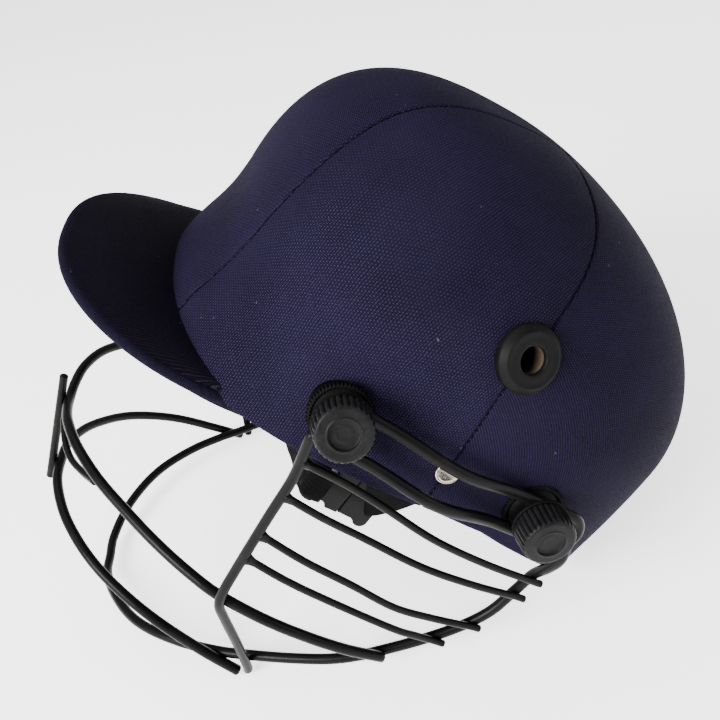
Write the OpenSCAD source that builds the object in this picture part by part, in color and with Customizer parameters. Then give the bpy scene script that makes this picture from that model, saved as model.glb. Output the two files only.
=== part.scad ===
// Cricket batting helmet: a hard shell in four cloth panels, a cloth covered peak, foam inside,
// and a steel face guard held at each side by two screw clamps.
// The pieces are drawn in the worn frame and then tipped back onto the guard and the rear rim.
// Worn frame: +X to the wearer's left, -Y to the front, +Z up, all in millimetres.

/* [Shell] */
// Width of the shell over its cloth
shell_w = 219; // [212:1:226]
// Length from the top of the crown forward to the forehead
front_len = 90.5; // [87:0.5:94]
// Length from the top of the crown back to the rear
back_len = 134; // [128:1:140]
// Height of the crown above the widest level
crown_h = 93; // [88:1:98]
// Wall of the hard shell
shell_wall = 3.2; // [2.5:0.1:4]
// Thickness of the cloth with its glue
cloth_t = 0.8; // [0.5:0.1:1.2]
// Height of the rim at the sides, below the ear level
rim_side = -14; // [-18:1:-11]
// How much lower the rim is at the rear than at the sides
rim_drop = 32; // [28:1:36]

/* [Peak] */
// How far the peak reaches in front of its two corners
peak_reach = 91; // [84:1:96]
// Width of the peak over its corners
peak_w = 166; // [160:1:170]
// Thickness of the peak's board
peak_t = 2.6; // [2:0.1:3.5]

/* [Foam] */
// Thickness of the impact liner
liner_t = 10; // [8:1:12]
// Thickness of the comfort pads
pad_t = 9; // [6:1:12]

/* [Eyelets and rivets] */
// Outside diameter of a vent eyelet
eyelet_d = 29; // [24:1:32]
// Bore of a vent eyelet
eyelet_bore = 11.6; // [8:0.1:13]
// Height of the eyelet's bevelled flange
eyelet_h = 4.2; // [3:0.1:5]
// Diameter of a strap rivet's head
rivet_d = 9.6; // [8:0.1:11]

/* [Clamps] */
// Diameter of the clamp bolts
bolt_d = 5; // [4:0.5:6]
// Thread pitch of the clamp bolts
pitch = 0.8; // [0.5:0.1:1]
// Diameter of the hand knobs
knob_d = 22.4; // [20:0.2:25]
// Height of the hand knobs
knob_h = 11; // [9:0.5:13]
// Ridges round a knob
knob_ridges = 30; // [24:1:36]
// Diameter of the knurled seats on the shell
seat_d = 25; // [22:0.5:27]
// Diameter of the clamp washers
washer_d = 22.6; // [20:0.2:26]
// Thickness of the clamp washers
washer_t = 1.6; // [1:0.1:2.5]
// Distance along the slot between the front and the rear clamp
clamp_span = 91.4; // [88:0.2:94]

/* [Face guard] */
// Diameter of the thick bars
bar_d = 4.8; // [4:0.1:5.5]
// Diameter of the thin side wires
wire_d = 3.2; // [2.6:0.1:4]
// Distance between the two sides of the clamp slot
slot_w = 15.4; // [15:0.2:18]

/* [Chin strap] */
// Width of the webbing
strap_w = 16; // [14:1:18]
// Thickness of the webbing
strap_t = 1.6; // [1.2:0.1:2.2]
// Length of the side release buckle
buckle_len = 38; // [35:1:41]

/* [Hidden] */
$fn = 48;

navy = "#2c2a4c";
dark_navy = "#17172a";
black = "#26262a";
foam = "#3a3b40";
silver = "#c9c6bf";

// Shape of the dome, as powers of its rounded outlines, and the places of its levels
plan_q = 2.4;
side_q = 2.2;
front_q = 2.7;
back_q = 1.93;
crown_y = -36;
girth_z = 20.5;
skirt_run = 273;
brow_flare = 10;
flare_top = 40;
flare_span = 50;
flare_most = 1.3;
flare_q = 1.5;

// Point that the shell is measured from, under the place where the seams meet
seam_y = -8;
eye = [0, seam_y, 0];
near_reach = 30;
far_reach = 200;
halvings = 20;

// Clearances
glue_gap = 0.2;
seat_gap = 0.3;
turn_gap = 0.05;
washer_gap = 0.08;

// Layers, measured inwards from the cloth's outside
shell_off = cloth_t + glue_gap;
inner_off = shell_off + shell_wall;
liner_off = inner_off + seat_gap;
pad_gap = 0.95;
pad_off = liner_off + liner_t + pad_gap;

function unit(v) = v / norm(v);
function mix(a, b, t) = a + (b - a) * t;
function clip(x) = min(max(x, 0), 1);
function smooth(t) = clip(t) * clip(t) * (3 - 2 * clip(t));
function flip(p) = [-p.x, p.y, p.z];
function aim(az, el) = [cos(el) * cos(az), cos(el) * sin(az), sin(el)];
function bend(t, q) = pow(max(0, 1 - pow(t, q)), 1 / q);

// Dome outline at height z, pulled in by off
function rise(z, off) = min(1, z > girth_z ? (z - girth_z) / (crown_h - off) : (girth_z - z) / skirt_run);
function flare(z) = brow_flare * pow(min(max((flare_top - z) / flare_span, 0), flare_most), flare_q);
function half_w(z, off) = (shell_w / 2 - off) * bend(rise(z, off), side_q);
function fore(z, off) = crown_y - (front_len - off) * bend(rise(z, off), front_q) - flare(z);
function aft(z, off) = crown_y + (back_len - off) * bend(rise(z, off), back_q);
function outside(p, off) =
    let (w = half_w(p.z, off), f = fore(p.z, off), b = aft(p.z, off))
    rise(p.z, off) >= 1 || w < 0.01 ? 1
    : pow(abs(p.x) / w, plan_q) + pow(abs(2 * p.y - f - b) / (b - f), plan_q) - 1;
// Distance along a ray at which it leaves the dome
function reach(from, way, off, lo, hi, n) =
    n == 0 ? (lo + hi) / 2
    : outside(from + way * (lo + hi) / 2, off) > 0 ? reach(from, way, off, lo, (lo + hi) / 2, n - 1)
    : reach(from, way, off, (lo + hi) / 2, hi, n - 1);
function skin(az, el, off) =
    eye + aim(az, el) * reach(eye, aim(az, el), off, near_reach, far_reach, halvings);
probe = 0.5;
function slope(p) = unit([for (i = [0:2])
    let (e = [for (k = [0:2]) k == i ? probe : 0]) outside(p + e, 0) - outside(p - e, 0)]);

// Rim of the dome: level along the front and sides, and lower at the rear
rim_start = 0.08;
rim_q = 1.2;
brow_drop = 3;
function around(az) = sin(az) / pow(pow(abs(cos(az)), plan_q) + pow(abs(sin(az)), plan_q), 1 / plan_q);
function rim_z(az) =
    rim_side - rim_drop * pow(clip((around(az) - rim_start) / (1 - rim_start)), rim_q)
    - brow_drop * smooth(-2 * around(az) - 1);
rim_reach_f = 127;
rim_reach_b = 103;
function rim_el(az) = atan(rim_z(az) / mix(rim_reach_f, rim_reach_b, clip(0.55 + 0.5 * sin(az))));

// The two seams of the left half, as directions that change with height
function front_seam(el) = -71.5 + 5.5 * exp(-pow((el - 33) / 20, 2));
function rear_seam(el) = -10.5 + 13 * smooth((el - 18) / 52);

// Resting pose: tipped back until the guard's lower corners and the rear rim share one plane
corner = [91, -42, -144];
corner_r = bar_d * 0.385;
heel = skin(90, rim_el(90), shell_off);
foot_cut = 0.4;
stance = heel - corner;
tip = atan2(stance.z, stance.y) + asin((corner_r + foot_cut) / norm([stance.y, stance.z]));
floor_z = -heel.y * sin(tip) + heel.z * cos(tip);
module rest() {
    translate([0, place_y, -floor_z - foot_cut])
        rotate([-tip, 0, 0])
            children();
}
place_y = 52.435;

// Solid between two grids of points, each row ending at the sides, the last row one point if capped
function rows(g) = len(g);
function cols(g) = len(g[0]);
module slab(outer, inner, closed = false, capped = false) {
    m = rows(outer);
    n = cols(outer);
    last = capped ? m - 2 : m - 1;
    top = concat([for (j = [0:last]) for (p = outer[j]) p], capped ? [outer[m - 1][0]] : []);
    low = concat([for (j = [0:last]) for (p = inner[j]) p], capped ? [inner[m - 1][0]] : []);
    s = len(top);
    pole = (last + 1) * n;
    reach_i = closed ? n - 1 : n - 2;
    faces_out = [for (j = [0:last - 1]) for (i = [0:reach_i]) for (t = [0, 1])
        let (k = (i + 1) % n, a = j * n + i, b = j * n + k, c = a + n, d = b + n)
        t == 0 ? [a, d, b] : [a, c, d]];
    cap_out = capped ? [for (i = [0:reach_i]) [last * n + i, pole, last * n + (i + 1) % n]] : [];
    skin_out = concat(faces_out, cap_out);
    skin_in = [for (f = skin_out) [f[0] + s, f[2] + s, f[1] + s]];
    hem = [for (i = [0:reach_i]) for (t = [0, 1])
        let (k = (i + 1) % n)
        t == 0 ? [i, k, k + s] : [i, k + s, i + s]];
    crest = capped ? [] : [for (i = [0:reach_i]) for (t = [0, 1])
        let (a = last * n + i, b = last * n + (i + 1) % n)
        t == 0 ? [a, b + s, b] : [a, a + s, b + s]];
    start = closed ? [] : [for (j = [0:last - 1]) for (t = [0, 1])
        let (a = j * n, c = a + n)
        t == 0 ? [a, c + s, c] : [a, a + s, c + s]];
    end = closed ? [] : [for (j = [0:last - 1]) for (t = [0, 1])
        let (a = j * n + n - 1, c = a + n)
        t == 0 ? [a, c, c + s] : [a, c + s, a + s]];
    start_tip = closed || !capped ? [] : [[last * n, last * n + s, pole + s], [last * n, pole + s, pole]];
    end_tip = closed || !capped ? []
        : [[last * n + n - 1, pole, pole + s], [last * n + n - 1, pole + s, last * n + n - 1 + s]];
    polyhedron(concat(top, low), concat(skin_out, skin_in, hem, crest, start, end, start_tip, end_tip));
}

// Frames carried along a path without twist, and the tube or band swept along them
function along(path) = [for (i = [0:len(path) - 1])
    unit(path[min(i + 1, len(path) - 1)] - path[max(i - 1, 0)])];
function square_to(v, t) = unit(v - t * (v * t));
function carry(path, side) =
    let (t = along(path))
    [for (i = 0, s = square_to(side, t[0]); i < len(path);
        i = i + 1, s = i < len(path) ? square_to(s, t[i]) : s) s];
module sweep(path, outline, sides) {
    t = along(path);
    n = len(outline);
    m = len(path);
    pts = [for (i = [0:m - 1]) let (s = square_to(sides[i], t[i])) for (q = outline)
        path[i] + s * q.x + cross(t[i], s) * q.y];
    wall = [for (i = [0:m - 2]) for (k = [0:n - 1]) for (h = [0, 1])
        let (a = i * n + k, b = i * n + (k + 1) % n)
        h == 0 ? [a, b + n, b] : [a, a + n, b + n]];
    polyhedron(pts, concat(wall, [[for (k = [0:n - 1]) k]], [[for (k = [n - 1:-1:0]) (m - 1) * n + k]]));
}
// Ring of points with the area of a circle of radius r
function ring(r, sides) =
    let (full = r * sqrt(PI / (sides / 2 * sin(360 / sides))))
    [for (k = [0:sides - 1]) [cos(k * 360 / sides), sin(k * 360 / sides)] * full];
bar_sides = 8;
wire_sides = 8;
module bar(path, d, sides = bar_sides) sweep(path, ring(d / 2, sides), carry(path, [0.1, 0.2, 1]));

// Smooth curve through the points, in equal steps between them
function knot(p, i) = i < 0 ? 2 * p[0] - p[1] : i > len(p) - 1 ? 2 * p[i - 1] - p[i - 2] : p[i];
function blend(a, b, c, d, t) =
    0.5 * (2 * b + (c - a) * t + (2 * a - 5 * b + 4 * c - d) * t * t
    + (3 * b - a - 3 * c + d) * t * t * t);
function curve(p, steps) = concat(
    [for (i = [0:len(p) - 2]) for (k = [0:steps - 1])
        blend(knot(p, i - 1), p[i], p[i + 1], knot(p, i + 2), k / steps)],
    [p[len(p) - 1]]);
function both_sides(half) = concat([for (i = [len(half) - 1:-1:1]) flip(half[i])], half);

module turn_to(n) rotate([0, acos(n.z), atan2(n.y, n.x)]) children();
module on(p, n) translate(p) turn_to(n) children();
module right_side() mirror([1, 0, 0]) children();

// Shell and its cloth
hem_lift = 0.5;
// Rows of points up the dome between two sides, from the hem to the place where the seams meet
function sheet(from, to, n, m, off, lift, top) = [for (j = [0:m])
    [for (i = [0:n])
        let (a = mix(from[0], to[0], i / n),
            base = rim_el(a) + lift,
            el = mix(base, top, j / m),
            az = mix(from[j], to[j], i / n))
        skin(az, el, off)]];
module table_cut(lift = 0) {
    span = 600;
    depth = 40;
    rotate([tip, 0, 0])
        translate([-span / 2, -span / 2, floor_z + foot_cut + lift - depth])
            cube([span, span, depth]);
}
// The four panels' grids joined into one round grid, so that the layers lie parallel
function lap(g) = [for (row = g) [for (i = [0:cols(g) - 2]) row[i]]];
function dome(off, lift) =
    let (from = shifted(opposite(left_front), -360),
        f = lap(sheet(from, left_front, front_cols, panel_rows, off, lift, 90)),
        l = lap(sheet(left_front, left_rear, side_cols, panel_rows, off, lift, 90)),
        b = lap(sheet(left_rear, opposite(left_rear), rear_cols, panel_rows, off, lift, 90)),
        r = lap(sheet(opposite(left_rear), opposite(left_front), side_cols, panel_rows, off, lift, 90)))
    [for (j = [0:panel_rows]) concat(f[j], l[j], b[j], r[j])];

module shell() {
    color(black)
        rest()
            difference() {
                slab(dome(shell_off, 0), dome(inner_off, 0), closed = true, capped = true);
                table_cut();
                shell_holes(eyelet_neck / 2 + seat_gap, rivet_shank / 2 + seat_gap, bolt_d / 2 + seat_gap);
            }
}
// Block of the dome near a point, a small gap proud of the cloth, that seats things on it
bed_deep = 14;
bed_cells = 4;
function bed_grid(p, half, off) =
    let (az = atan2(p.y - seam_y, p.x), el = atan2(p.z, norm([p.x, p.y - seam_y])))
    [for (j = [0:bed_cells]) [for (i = [0:bed_cells])
        skin(az + mix(-half, half, i / bed_cells), el + mix(-half, half, j / bed_cells), off)]];
module bed(p, half) slab(bed_grid(p, half, -seat_gap), bed_grid(p, half, bed_deep));
// Bores that pass through the shell for the eyelets, rivets and clamp bolts
hole_len = 60;
module through(p, n, r) on(p, n) translate([0, 0, -hole_len / 2]) cylinder(r = r, h = hole_len);
module side_holes(eyelet_r, rivet_r, bolt_r) {
    through(eyelet_p, eyelet_n, eyelet_r);
    through(rivet_p, rivet_n, rivet_r);
    for (c = clamps)
        through(clamp_foot(c), clamp_n(c), bolt_r);
}
module shell_holes(eyelet_r, rivet_r, bolt_r) {
    side_holes(eyelet_r, rivet_r, bolt_r);
    right_side()
        side_holes(eyelet_r, rivet_r, bolt_r);
}
panel_rows = 10;
front_cols = 6;
side_cols = 7;
rear_cols = 20;
seam_gap = 0.12;
hem_clear = 0.3;
row_el = [for (j = [0:panel_rows]) mix(-8, 90, j / panel_rows)];
left_front = [for (e = row_el) front_seam(e)];
left_rear = [for (e = row_el) rear_seam(e)];
module panel(from, to, n) {
    slab(sheet(from, to, n, panel_rows, 0, hem_lift, 90),
        sheet(from, to, n, panel_rows, cloth_t, hem_lift, 90), capped = true);
}
function shifted(list, by) = [for (a = list) a + by];
function opposite(list) = [for (a = list) 180 - a];
module cloth(from, to, n) {
    color(navy)
        rest()
            difference() {
                panel(shifted(from, seam_gap), shifted(to, -seam_gap), n);
                table_cut(hem_clear);
                shell_holes(eyelet_neck / 2 + seat_gap, rivet_shank / 2 + seat_gap, bolt_d / 2 + seat_gap);
            }
}
module cover_front() cloth(shifted(opposite(left_front), -360), left_front, front_cols);
module cover_left() cloth(left_front, left_rear, side_cols);
module cover_rear() cloth(left_rear, opposite(left_rear), rear_cols);
module cover_right() cloth(opposite(left_rear), opposite(left_front), side_cols);

// Peak: a board between its root on the forehead and its rounded edge, with cloth on both faces
peak_y = -95.7;
peak_q = 2.4;
peak_root_az = -45;
peak_root_z = -10;
peak_edge_z = -14;
peak_corner_drop = 3;
peak_crown = 2.4;
peak_cols = 24;
peak_rows = 4;
edge_in = 1.2;
function quad(c) = sign(c) * pow(abs(c), 2 / peak_q);
function peak_edge(s, in) =
    [(peak_w / 2 - in) * quad(cos(s)), peak_y - (peak_reach - in) * quad(sin(s)),
        peak_edge_z - peak_corner_drop * pow(abs(cos(s)), 3)];
function level(az, z, off) =
    [0, seam_y, z] + aim(az, 0) * reach([0, seam_y, z], aim(az, 0), off, near_reach, far_reach, halvings);
function peak_root(s, dz) =
    level(mix(peak_root_az, -180 - peak_root_az, s / 180),
        peak_root_z + dz - peak_corner_drop * pow(abs(cos(s)), 3), -seat_gap);
function peak_point(s, t, in, dz) =
    mix(peak_root(s, dz), peak_edge(s, in) + [0, 0, dz], t) + [0, 0, peak_crown * sin(180 * t) * sin(s)];
peak_trim = 9;
function peak_grid(in, dz) = [for (j = [0:peak_rows])
    [for (i = [0:peak_cols])
        peak_point(mix(peak_trim, 180 - peak_trim, i / peak_cols), j / peak_rows, in, dz)]];
module peak_layer(in, high, low) rest() slab(peak_grid(in, high), peak_grid(in, low));
module peak_board() color(black) peak_layer(edge_in, peak_t / 2, -peak_t / 2);
peak_skin = peak_t / 2 + glue_gap;
module peak_top_cloth() color(dark_navy) peak_layer(edge_in, peak_skin + cloth_t, peak_skin);
module peak_under_cloth() color(dark_navy) peak_layer(edge_in, -peak_skin, -peak_skin - cloth_t);
module peak_binding() {
    path = [for (i = [0:peak_cols]) peak_edge(mix(peak_trim, 180 - peak_trim, i / peak_cols), 0)];
    bead_w = edge_in - glue_gap;
    bead_h = peak_t + 2 * (glue_gap + cloth_t);
    outline = [[bead_h / 2, bead_w], [-bead_h / 2, bead_w], [-bead_h / 2, 0], [-bead_h / 4, -bead_w * 0.8],
        [bead_h / 4, -bead_w * 0.8], [bead_h / 2, 0]];
    color(dark_navy)
        rest()
            sweep(path, outline, carry(path, [0, 0, 1]));
}

// Foam: one moulded liner against the shell, and soft pads on its inside
liner_lift = 1;
head_clear = 8;
module impact_liner() {
    color(foam)
        rest()
            difference() {
                slab(dome(liner_off, liner_lift), dome(liner_off + liner_t, liner_lift),
                    closed = true, capped = true);
                shell_holes(ring_d / 2 + 1, head_clear, head_clear);
                strap_channel();
                right_side()
                    strap_channel();
            }
}
// Groove in the liner's outside for the webbing, from above its rivet down past the rim
channel_deep = 9;
channel_above = 9;
channel_len = 45;
channel_side = 6;
module strap_channel() {
    on(rivet_p, rivet_n)
        translate([-channel_above, -strap_w / 2 - channel_side, -channel_deep])
            cube([channel_len, strap_w + 2 * channel_side, channel_deep]);
}
// A pillow on the liner: thin at its edges and full in the middle
pad_edge = 0.3;
pad_q = 3;
function fill(u, v) = mix(pad_edge, 1, bend(abs(2 * u - 1), pad_q) * bend(abs(2 * v - 1), pad_q));
function pad_face(az, el, n, m, in) = [for (j = [0:m])
    [for (i = [0:n])
        let (a = mix(az[0], az[1], i / n), e = mix(el[0], el[1], j / m))
        skin(a, e, pad_off + in * pad_t * fill(i / n, j / m))]];
module pad(az, el, n, m) {
    color(foam)
        rest()
            slab(pad_face(az, el, n, m, 0), pad_face(az, el, n, m, 1));
}
pad_cols = 10;
pad_rows = 6;
side_pad_az = [-36, 30];
side_pad_el = [-8.5, 26];
front_pad_az = [-135, -45];
front_pad_el = [-7, 14];
rear_pad_az = [48, 132];
rear_pad_el = [-14, 10];
crown_pad_el = 62;
module left_pad() pad(side_pad_az, side_pad_el, pad_cols, pad_rows);
module right_pad() pad([180 - side_pad_az[1], 180 - side_pad_az[0]], side_pad_el, pad_cols, pad_rows);
module front_pad() pad(front_pad_az, front_pad_el, pad_cols + 4, pad_rows);
module rear_pad() pad(rear_pad_az, rear_pad_el, pad_cols + 2, pad_rows);
module crown_pad() {
    n = 24;
    m = 6;
    az = [for (i = [0:n - 1]) i * 360 / n];
    function cap(in) = [for (j = [0:m]) [for (a = az)
        skin(a, mix(crown_pad_el, 90, j / m),
            pad_off + in * pad_t * mix(pad_edge, 1, bend(1 - j / m, pad_q)))]];
    color(foam)
        rest()
            slab(cap(0), cap(1), closed = true, capped = true);
}

// Vent eyelets, on the seams above the ears
eyelet_az = -8.8;
eyelet_el = 29.2;
eyelet_p = skin(eyelet_az, eyelet_el, 0);
eyelet_n = slope(eyelet_p);
eyelet_neck = eyelet_bore + 3;
flange_t = 1.4;
bevel_top = 0.62;
flange_skirt = 1.5;
ring_d = 21;
ring_t = 1.6;
ring_sag = 1.5;
neck_len = inner_off + ring_sag + ring_t + 1;
eyelet_bed = 10;
module eyelet() {
    r = eyelet_d / 2;
    b = eyelet_bore / 2;
    difference() {
        on(eyelet_p, eyelet_n)
            rotate_extrude($fn = 64)
                polygon([[b, eyelet_h - 1], [b + 0.8, eyelet_h - 0.2], [b + 1.4, eyelet_h],
                    [r * bevel_top, eyelet_h], [r - 0.5, flange_t], [r, flange_t - 0.6],
                    [r, -flange_skirt], [b, -flange_skirt]]);
        bed(eyelet_p, eyelet_bed);
    }
    on(eyelet_p, eyelet_n)
        difference() {
            translate([0, 0, -neck_len])
                cylinder(d = eyelet_neck, h = neck_len + 2);
            translate([0, 0, -neck_len - 1])
                cylinder(d = eyelet_bore, h = neck_len + 4);
        }
}
module eyelet_ring() {
    on(eyelet_p, eyelet_n)
        translate([0, 0, -inner_off - ring_sag - ring_t])
            difference() {
                cylinder(d = ring_d, h = ring_t);
                translate([0, 0, -1])
                    cylinder(d = eyelet_neck + 2 * turn_gap, h = ring_t + 2);
            }
}
module left_eyelet() color(black) rest() eyelet();
module right_eyelet() color(black) rest() right_side() eyelet();
module left_eyelet_ring() color(black) rest() eyelet_ring();
module right_eyelet_ring() color(black) rest() right_side() eyelet_ring();

// Rivets that hold the ends of the chin strap
rivet_az = -10.4;
rivet_el = 2.8;
rivet_p = skin(rivet_az, rivet_el, 0);
rivet_n = slope(rivet_p);
rivet_head = 1.1;
rivet_shank = 4;
rivet_tail = 1.2;
rivet_washer_d = 11;
rivet_washer_t = 0.8;
strap_sag = strap_w * strap_w / 900 + 0.5;
strap_off = inner_off + seat_gap + strap_sag + strap_t / 2;
rivet_grip = strap_off + strap_t / 2 + seat_gap + rivet_washer_t;
module rivet() {
    r = rivet_d / 2;
    s = rivet_shank / 2;
    on(rivet_p, rivet_n)
        translate([0, 0, seat_gap / 3])
            rotate_extrude()
                polygon([[0, rivet_head], [r * 0.5, rivet_head], [r * 0.9, rivet_head * 0.7], [r, 0.2],
                    [r, 0], [s, 0], [s, -rivet_grip - 0.4], [r * 0.7, -rivet_grip - 0.4],
                    [r * 0.5, -rivet_grip - rivet_tail], [0, -rivet_grip - rivet_tail]]);
}
module left_rivet() color(silver) rest() rivet();
module right_rivet() color(silver) rest() right_side() rivet();
module rivet_washer() {
    on(rivet_p, rivet_n)
        translate([0, 0, -rivet_grip])
            difference() {
                cylinder(d = rivet_washer_d, h = rivet_washer_t);
                translate([0, 0, -1])
                    cylinder(d = rivet_shank + 2 * washer_gap, h = rivet_washer_t + 2);
            }
}
module rivet_washers() {
    color(silver)
        rest() {
            rivet_washer();
            right_side()
                rivet_washer();
        }
}

// Clamps: the two bolts of a side pass through the guard's slot, which runs straight from front to rear
slot_pitch = 5.9;
slot_way = [0, cos(slot_pitch), -sin(slot_pitch)];
slot_up = [0, sin(slot_pitch), cos(slot_pitch)];
out = [1, 0, 0];
// The slot's centre stands off from the side of the shell at each bolt
front_stand = 13.1575;
rear_stand = 5.0992;
slot_from = [0, -76.9, 12.1];
function side_x(p) = reach(p, out, 0, 0, far_reach, halvings);
slot_start = slot_from + out * (side_x(slot_from) + front_stand);
front_tilt = 14;
rear_tilt = 3;
front_splay = -10;
rear_splay = 5;
rear_out = side_x(slot_from + slot_way * clamp_span) + rear_stand - slot_start.x;
// The points of the guard and of the strap are placed for these two slot centres, and widen with them
front_x = 112;
rear_x = 112.4;
function widened(points) = [for (p = points)
    let (t = clip((p.y - slot_from.y) / clamp_span))
    [p.x * mix(slot_start.x / front_x, (slot_start.x + rear_out) / rear_x, t), p.y, p.z]];
// Room for the bars between seat and washer: they lift in front and sink behind as the guard slides
front_under = 0.45;
front_over = 1;
rear_under = 0.55;
rear_over = 0.35;
// Each clamp: its place along the slot, how far its bolt leans up and back, room under and over the bars
clamps = [[0, front_tilt, front_splay, front_under, front_over],
    [clamp_span, rear_tilt, rear_splay, rear_under, rear_over]];
// The slot bows outwards with the side of the shell, square to both bolts
function bow(s) =
    let (t = s / clamp_span, a = -tan(front_splay) * clamp_span, b = -tan(rear_splay) * clamp_span)
    t < 0 ? a * t
    : t > 1 ? rear_out + b * (t - 1)
    : t * (1 - t) * (a * (1 - t) - b * t) + rear_out * t * t * (3 - 2 * t);
function clamp_q(c) = slot_start + slot_way * c[0] + out * bow(c[0]);
function clamp_n(c) =
    (out * cos(c[1]) + slot_up * sin(c[1])) * cos(c[2]) + slot_way * sin(c[2]);
clamp_back = 45;
function depth_to(c, off) =
    clamp_back - reach(clamp_q(c) - clamp_n(c) * clamp_back, clamp_n(c), off, 0, 60, halvings);
function clamp_foot(c) = clamp_q(c) - clamp_n(c) * depth_to(c, 0);
function lean(c) = acos(min(1, clamp_n(c) * slope(clamp_foot(c))));
bar_r = bar_d / 2;
boss_r = 3.4;
function seat_top(c) = -bar_r - c[3];
function washer_at(c) = bar_r + c[4];
function knob_at(c) = washer_at(c) + washer_t + 0.1;
knurl_n = 36;
knurl_deep = 0.6;
knurl_h = 4.4;
bolt_head_d = 12;
bolt_head_h = 2;
head_room = 0.8;
bolt_in_knob = 8;
knob_bore_h = 9;
seat_bed = 12;

module knurled(d, h, n, deep) {
    linear_extrude(h)
        polygon([for (k = [0:2 * n - 1]) [cos(k * 180 / n), sin(k * 180 / n)] * (d / 2 - (k % 2) * deep)]);
}
module seat(c) {
    foot = clamp_foot(c);
    thick = depth_to(c, 0) + seat_top(c);
    boss_h = washer_at(c) - 0.1 - seat_top(c);
    block = 60;
    difference() {
        on(clamp_q(c), clamp_n(c))
            difference() {
                union() {
                    translate([0, 0, seat_top(c) - knurl_h])
                        knurled(seat_d, knurl_h, knurl_n, knurl_deep);
                    translate([0, 0, seat_top(c) - thick - seat_d / 4])
                        cylinder(d = seat_d - 3, h = thick + seat_d / 4);
                    translate([0, 0, seat_top(c) - 1])
                        cylinder(r = boss_r, h = boss_h + 1);
                }
                translate([0, 0, -block / 2])
                    cylinder(d = bolt_d + 2 * turn_gap, h = block);
            }
        bed(foot, seat_bed);
    }
}
module bolt(c) {
    head = depth_to(c, inner_off) + bolt_head_d / 2 * tan(lean(c)) + head_room;
    on(clamp_q(c), clamp_n(c)) {
        translate([0, 0, -head - bolt_head_h])
            cylinder(d = bolt_head_d, h = bolt_head_h);
        translate([0, 0, -head - 1])
            cylinder(d = bolt_d, h = head + 1 + knob_at(c) + bolt_in_knob);
    }
}
module washer(c) {
    on(clamp_q(c), clamp_n(c))
        translate([0, 0, washer_at(c)])
            difference() {
                rotate_extrude($fn = 64)
                    polygon([[0, 0], [washer_d / 2 - 0.4, 0], [washer_d / 2, 0.4],
                        [washer_d / 2, washer_t - 0.4], [washer_d / 2 - 0.4, washer_t], [0, washer_t]]);
                translate([0, 0, -1])
                    cylinder(d = bolt_d + 2 * washer_gap, h = washer_t + 2);
            }
}
flute_deep = 0.7;
face_recess_r = 7;
recess_deep = 0.8;
lip_w = 0.9;
lip_h = 0.4;
function flute(k, share, r) = let (a = (k + share) * 360 / knob_ridges) [cos(a), sin(a)] * r;
module knob(c) {
    r = knob_d / 2;
    on(clamp_q(c), clamp_n(c))
        translate([0, 0, knob_at(c)])
            difference() {
                union() {
                    intersection() {
                        linear_extrude(knob_h)
                            polygon([for (k = [0:knob_ridges - 1]) each
                                [flute(k, 0, r), flute(k, 0.45, r), flute(k, 0.6, r - flute_deep),
                                    flute(k, 0.85, r - flute_deep)]]);
                        rotate_extrude($fn = 96)
                            polygon([[0, 0], [r - 0.8, 0], [r + 0.1, 0.9], [r + 0.1, knob_h - 1.8],
                                [r - 0.9, knob_h - 0.3], [r - 1.6, knob_h], [0, knob_h]]);
                    }
                    translate([0, 0, knob_h - 1])
                        cylinder(r = face_recess_r + lip_w, h = 1 + lip_h, $fn = 64);
                }
                translate([0, 0, knob_h - recess_deep])
                    cylinder(r = face_recess_r, h = recess_deep + 2, $fn = 64);
                translate([0, 0, -1])
                    cylinder(d = bolt_d + 2 * turn_gap, h = knob_bore_h + 1);
            }
}
module left_front_seat() color(black) rest() seat(clamps[0]);
module left_rear_seat() color(black) rest() seat(clamps[1]);
module right_front_seat() color(black) rest() right_side() seat(clamps[0]);
module right_rear_seat() color(black) rest() right_side() seat(clamps[1]);
module left_front_bolt() color(silver) rest() bolt(clamps[0]);
module left_rear_bolt() color(silver) rest() bolt(clamps[1]);
module right_front_bolt() color(silver) rest() right_side() bolt(clamps[0]);
module right_rear_bolt() color(silver) rest() right_side() bolt(clamps[1]);
module left_front_washer() color(black) rest() washer(clamps[0]);
module left_rear_washer() color(black) rest() washer(clamps[1]);
module right_front_washer() color(black) rest() right_side() washer(clamps[0]);
module right_rear_washer() color(black) rest() right_side() washer(clamps[1]);
module left_front_knob() color(black) rest() knob(clamps[0]);
module left_rear_knob() color(black) rest() knob(clamps[1]);
module right_front_knob() color(black) rest() right_side() knob(clamps[0]);
module right_rear_knob() color(black) rest() right_side() knob(clamps[1]);

// Face guard: bent steel bars welded to each other
weld = 0.25;
rod_at = -7;
loop_tail = 22;
loop_r = slot_w / 2;
straight_f = 26;
straight_r = 13.5;
turn_steps = 8;
function lean_at(s) =
    mix(front_tilt, rear_tilt, smooth((s - straight_f) / (clamp_span - straight_r - straight_f)));
// The bolts sit above the middle of the slot, and between the washers the loop swings away from the shell
slot_drop = 1.5;
loop_swing = 5;
swing_from = washer_d / 2 + 4.7;
swing_to = clamp_span - washer_d / 2;
function swing(s) = loop_swing * pow(sin(180 * clip((s - swing_from) / (swing_to - swing_from))), 2);
function slot_point(s, side) = let (d = side - slot_drop)
    slot_start + slot_way * s + out * (bow(s) + swing(s) - d * sin(lean_at(s)))
    + slot_up * d * cos(lean_at(s));
loop_centre = clamp_span + loop_tail - loop_r;
loop_run = [for (s = [rod_at + bar_r - weld, 13, 26, 33, 40, 47, 54, 61, 68, 76, loop_centre - 4]) s];
module slot_loop() {
    run = len(loop_run);
    bar(concat([for (s = loop_run) slot_point(s, loop_r)],
        [for (k = [0:turn_steps]) slot_point(loop_centre + loop_r * sin(180 * k / turn_steps),
            loop_r * cos(180 * k / turn_steps))],
        [for (i = [run - 1:-1:0]) slot_point(loop_run[i], -loop_r)]), bar_d);
}
module left_slot_loop() color(black) rest() slot_loop();
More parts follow.
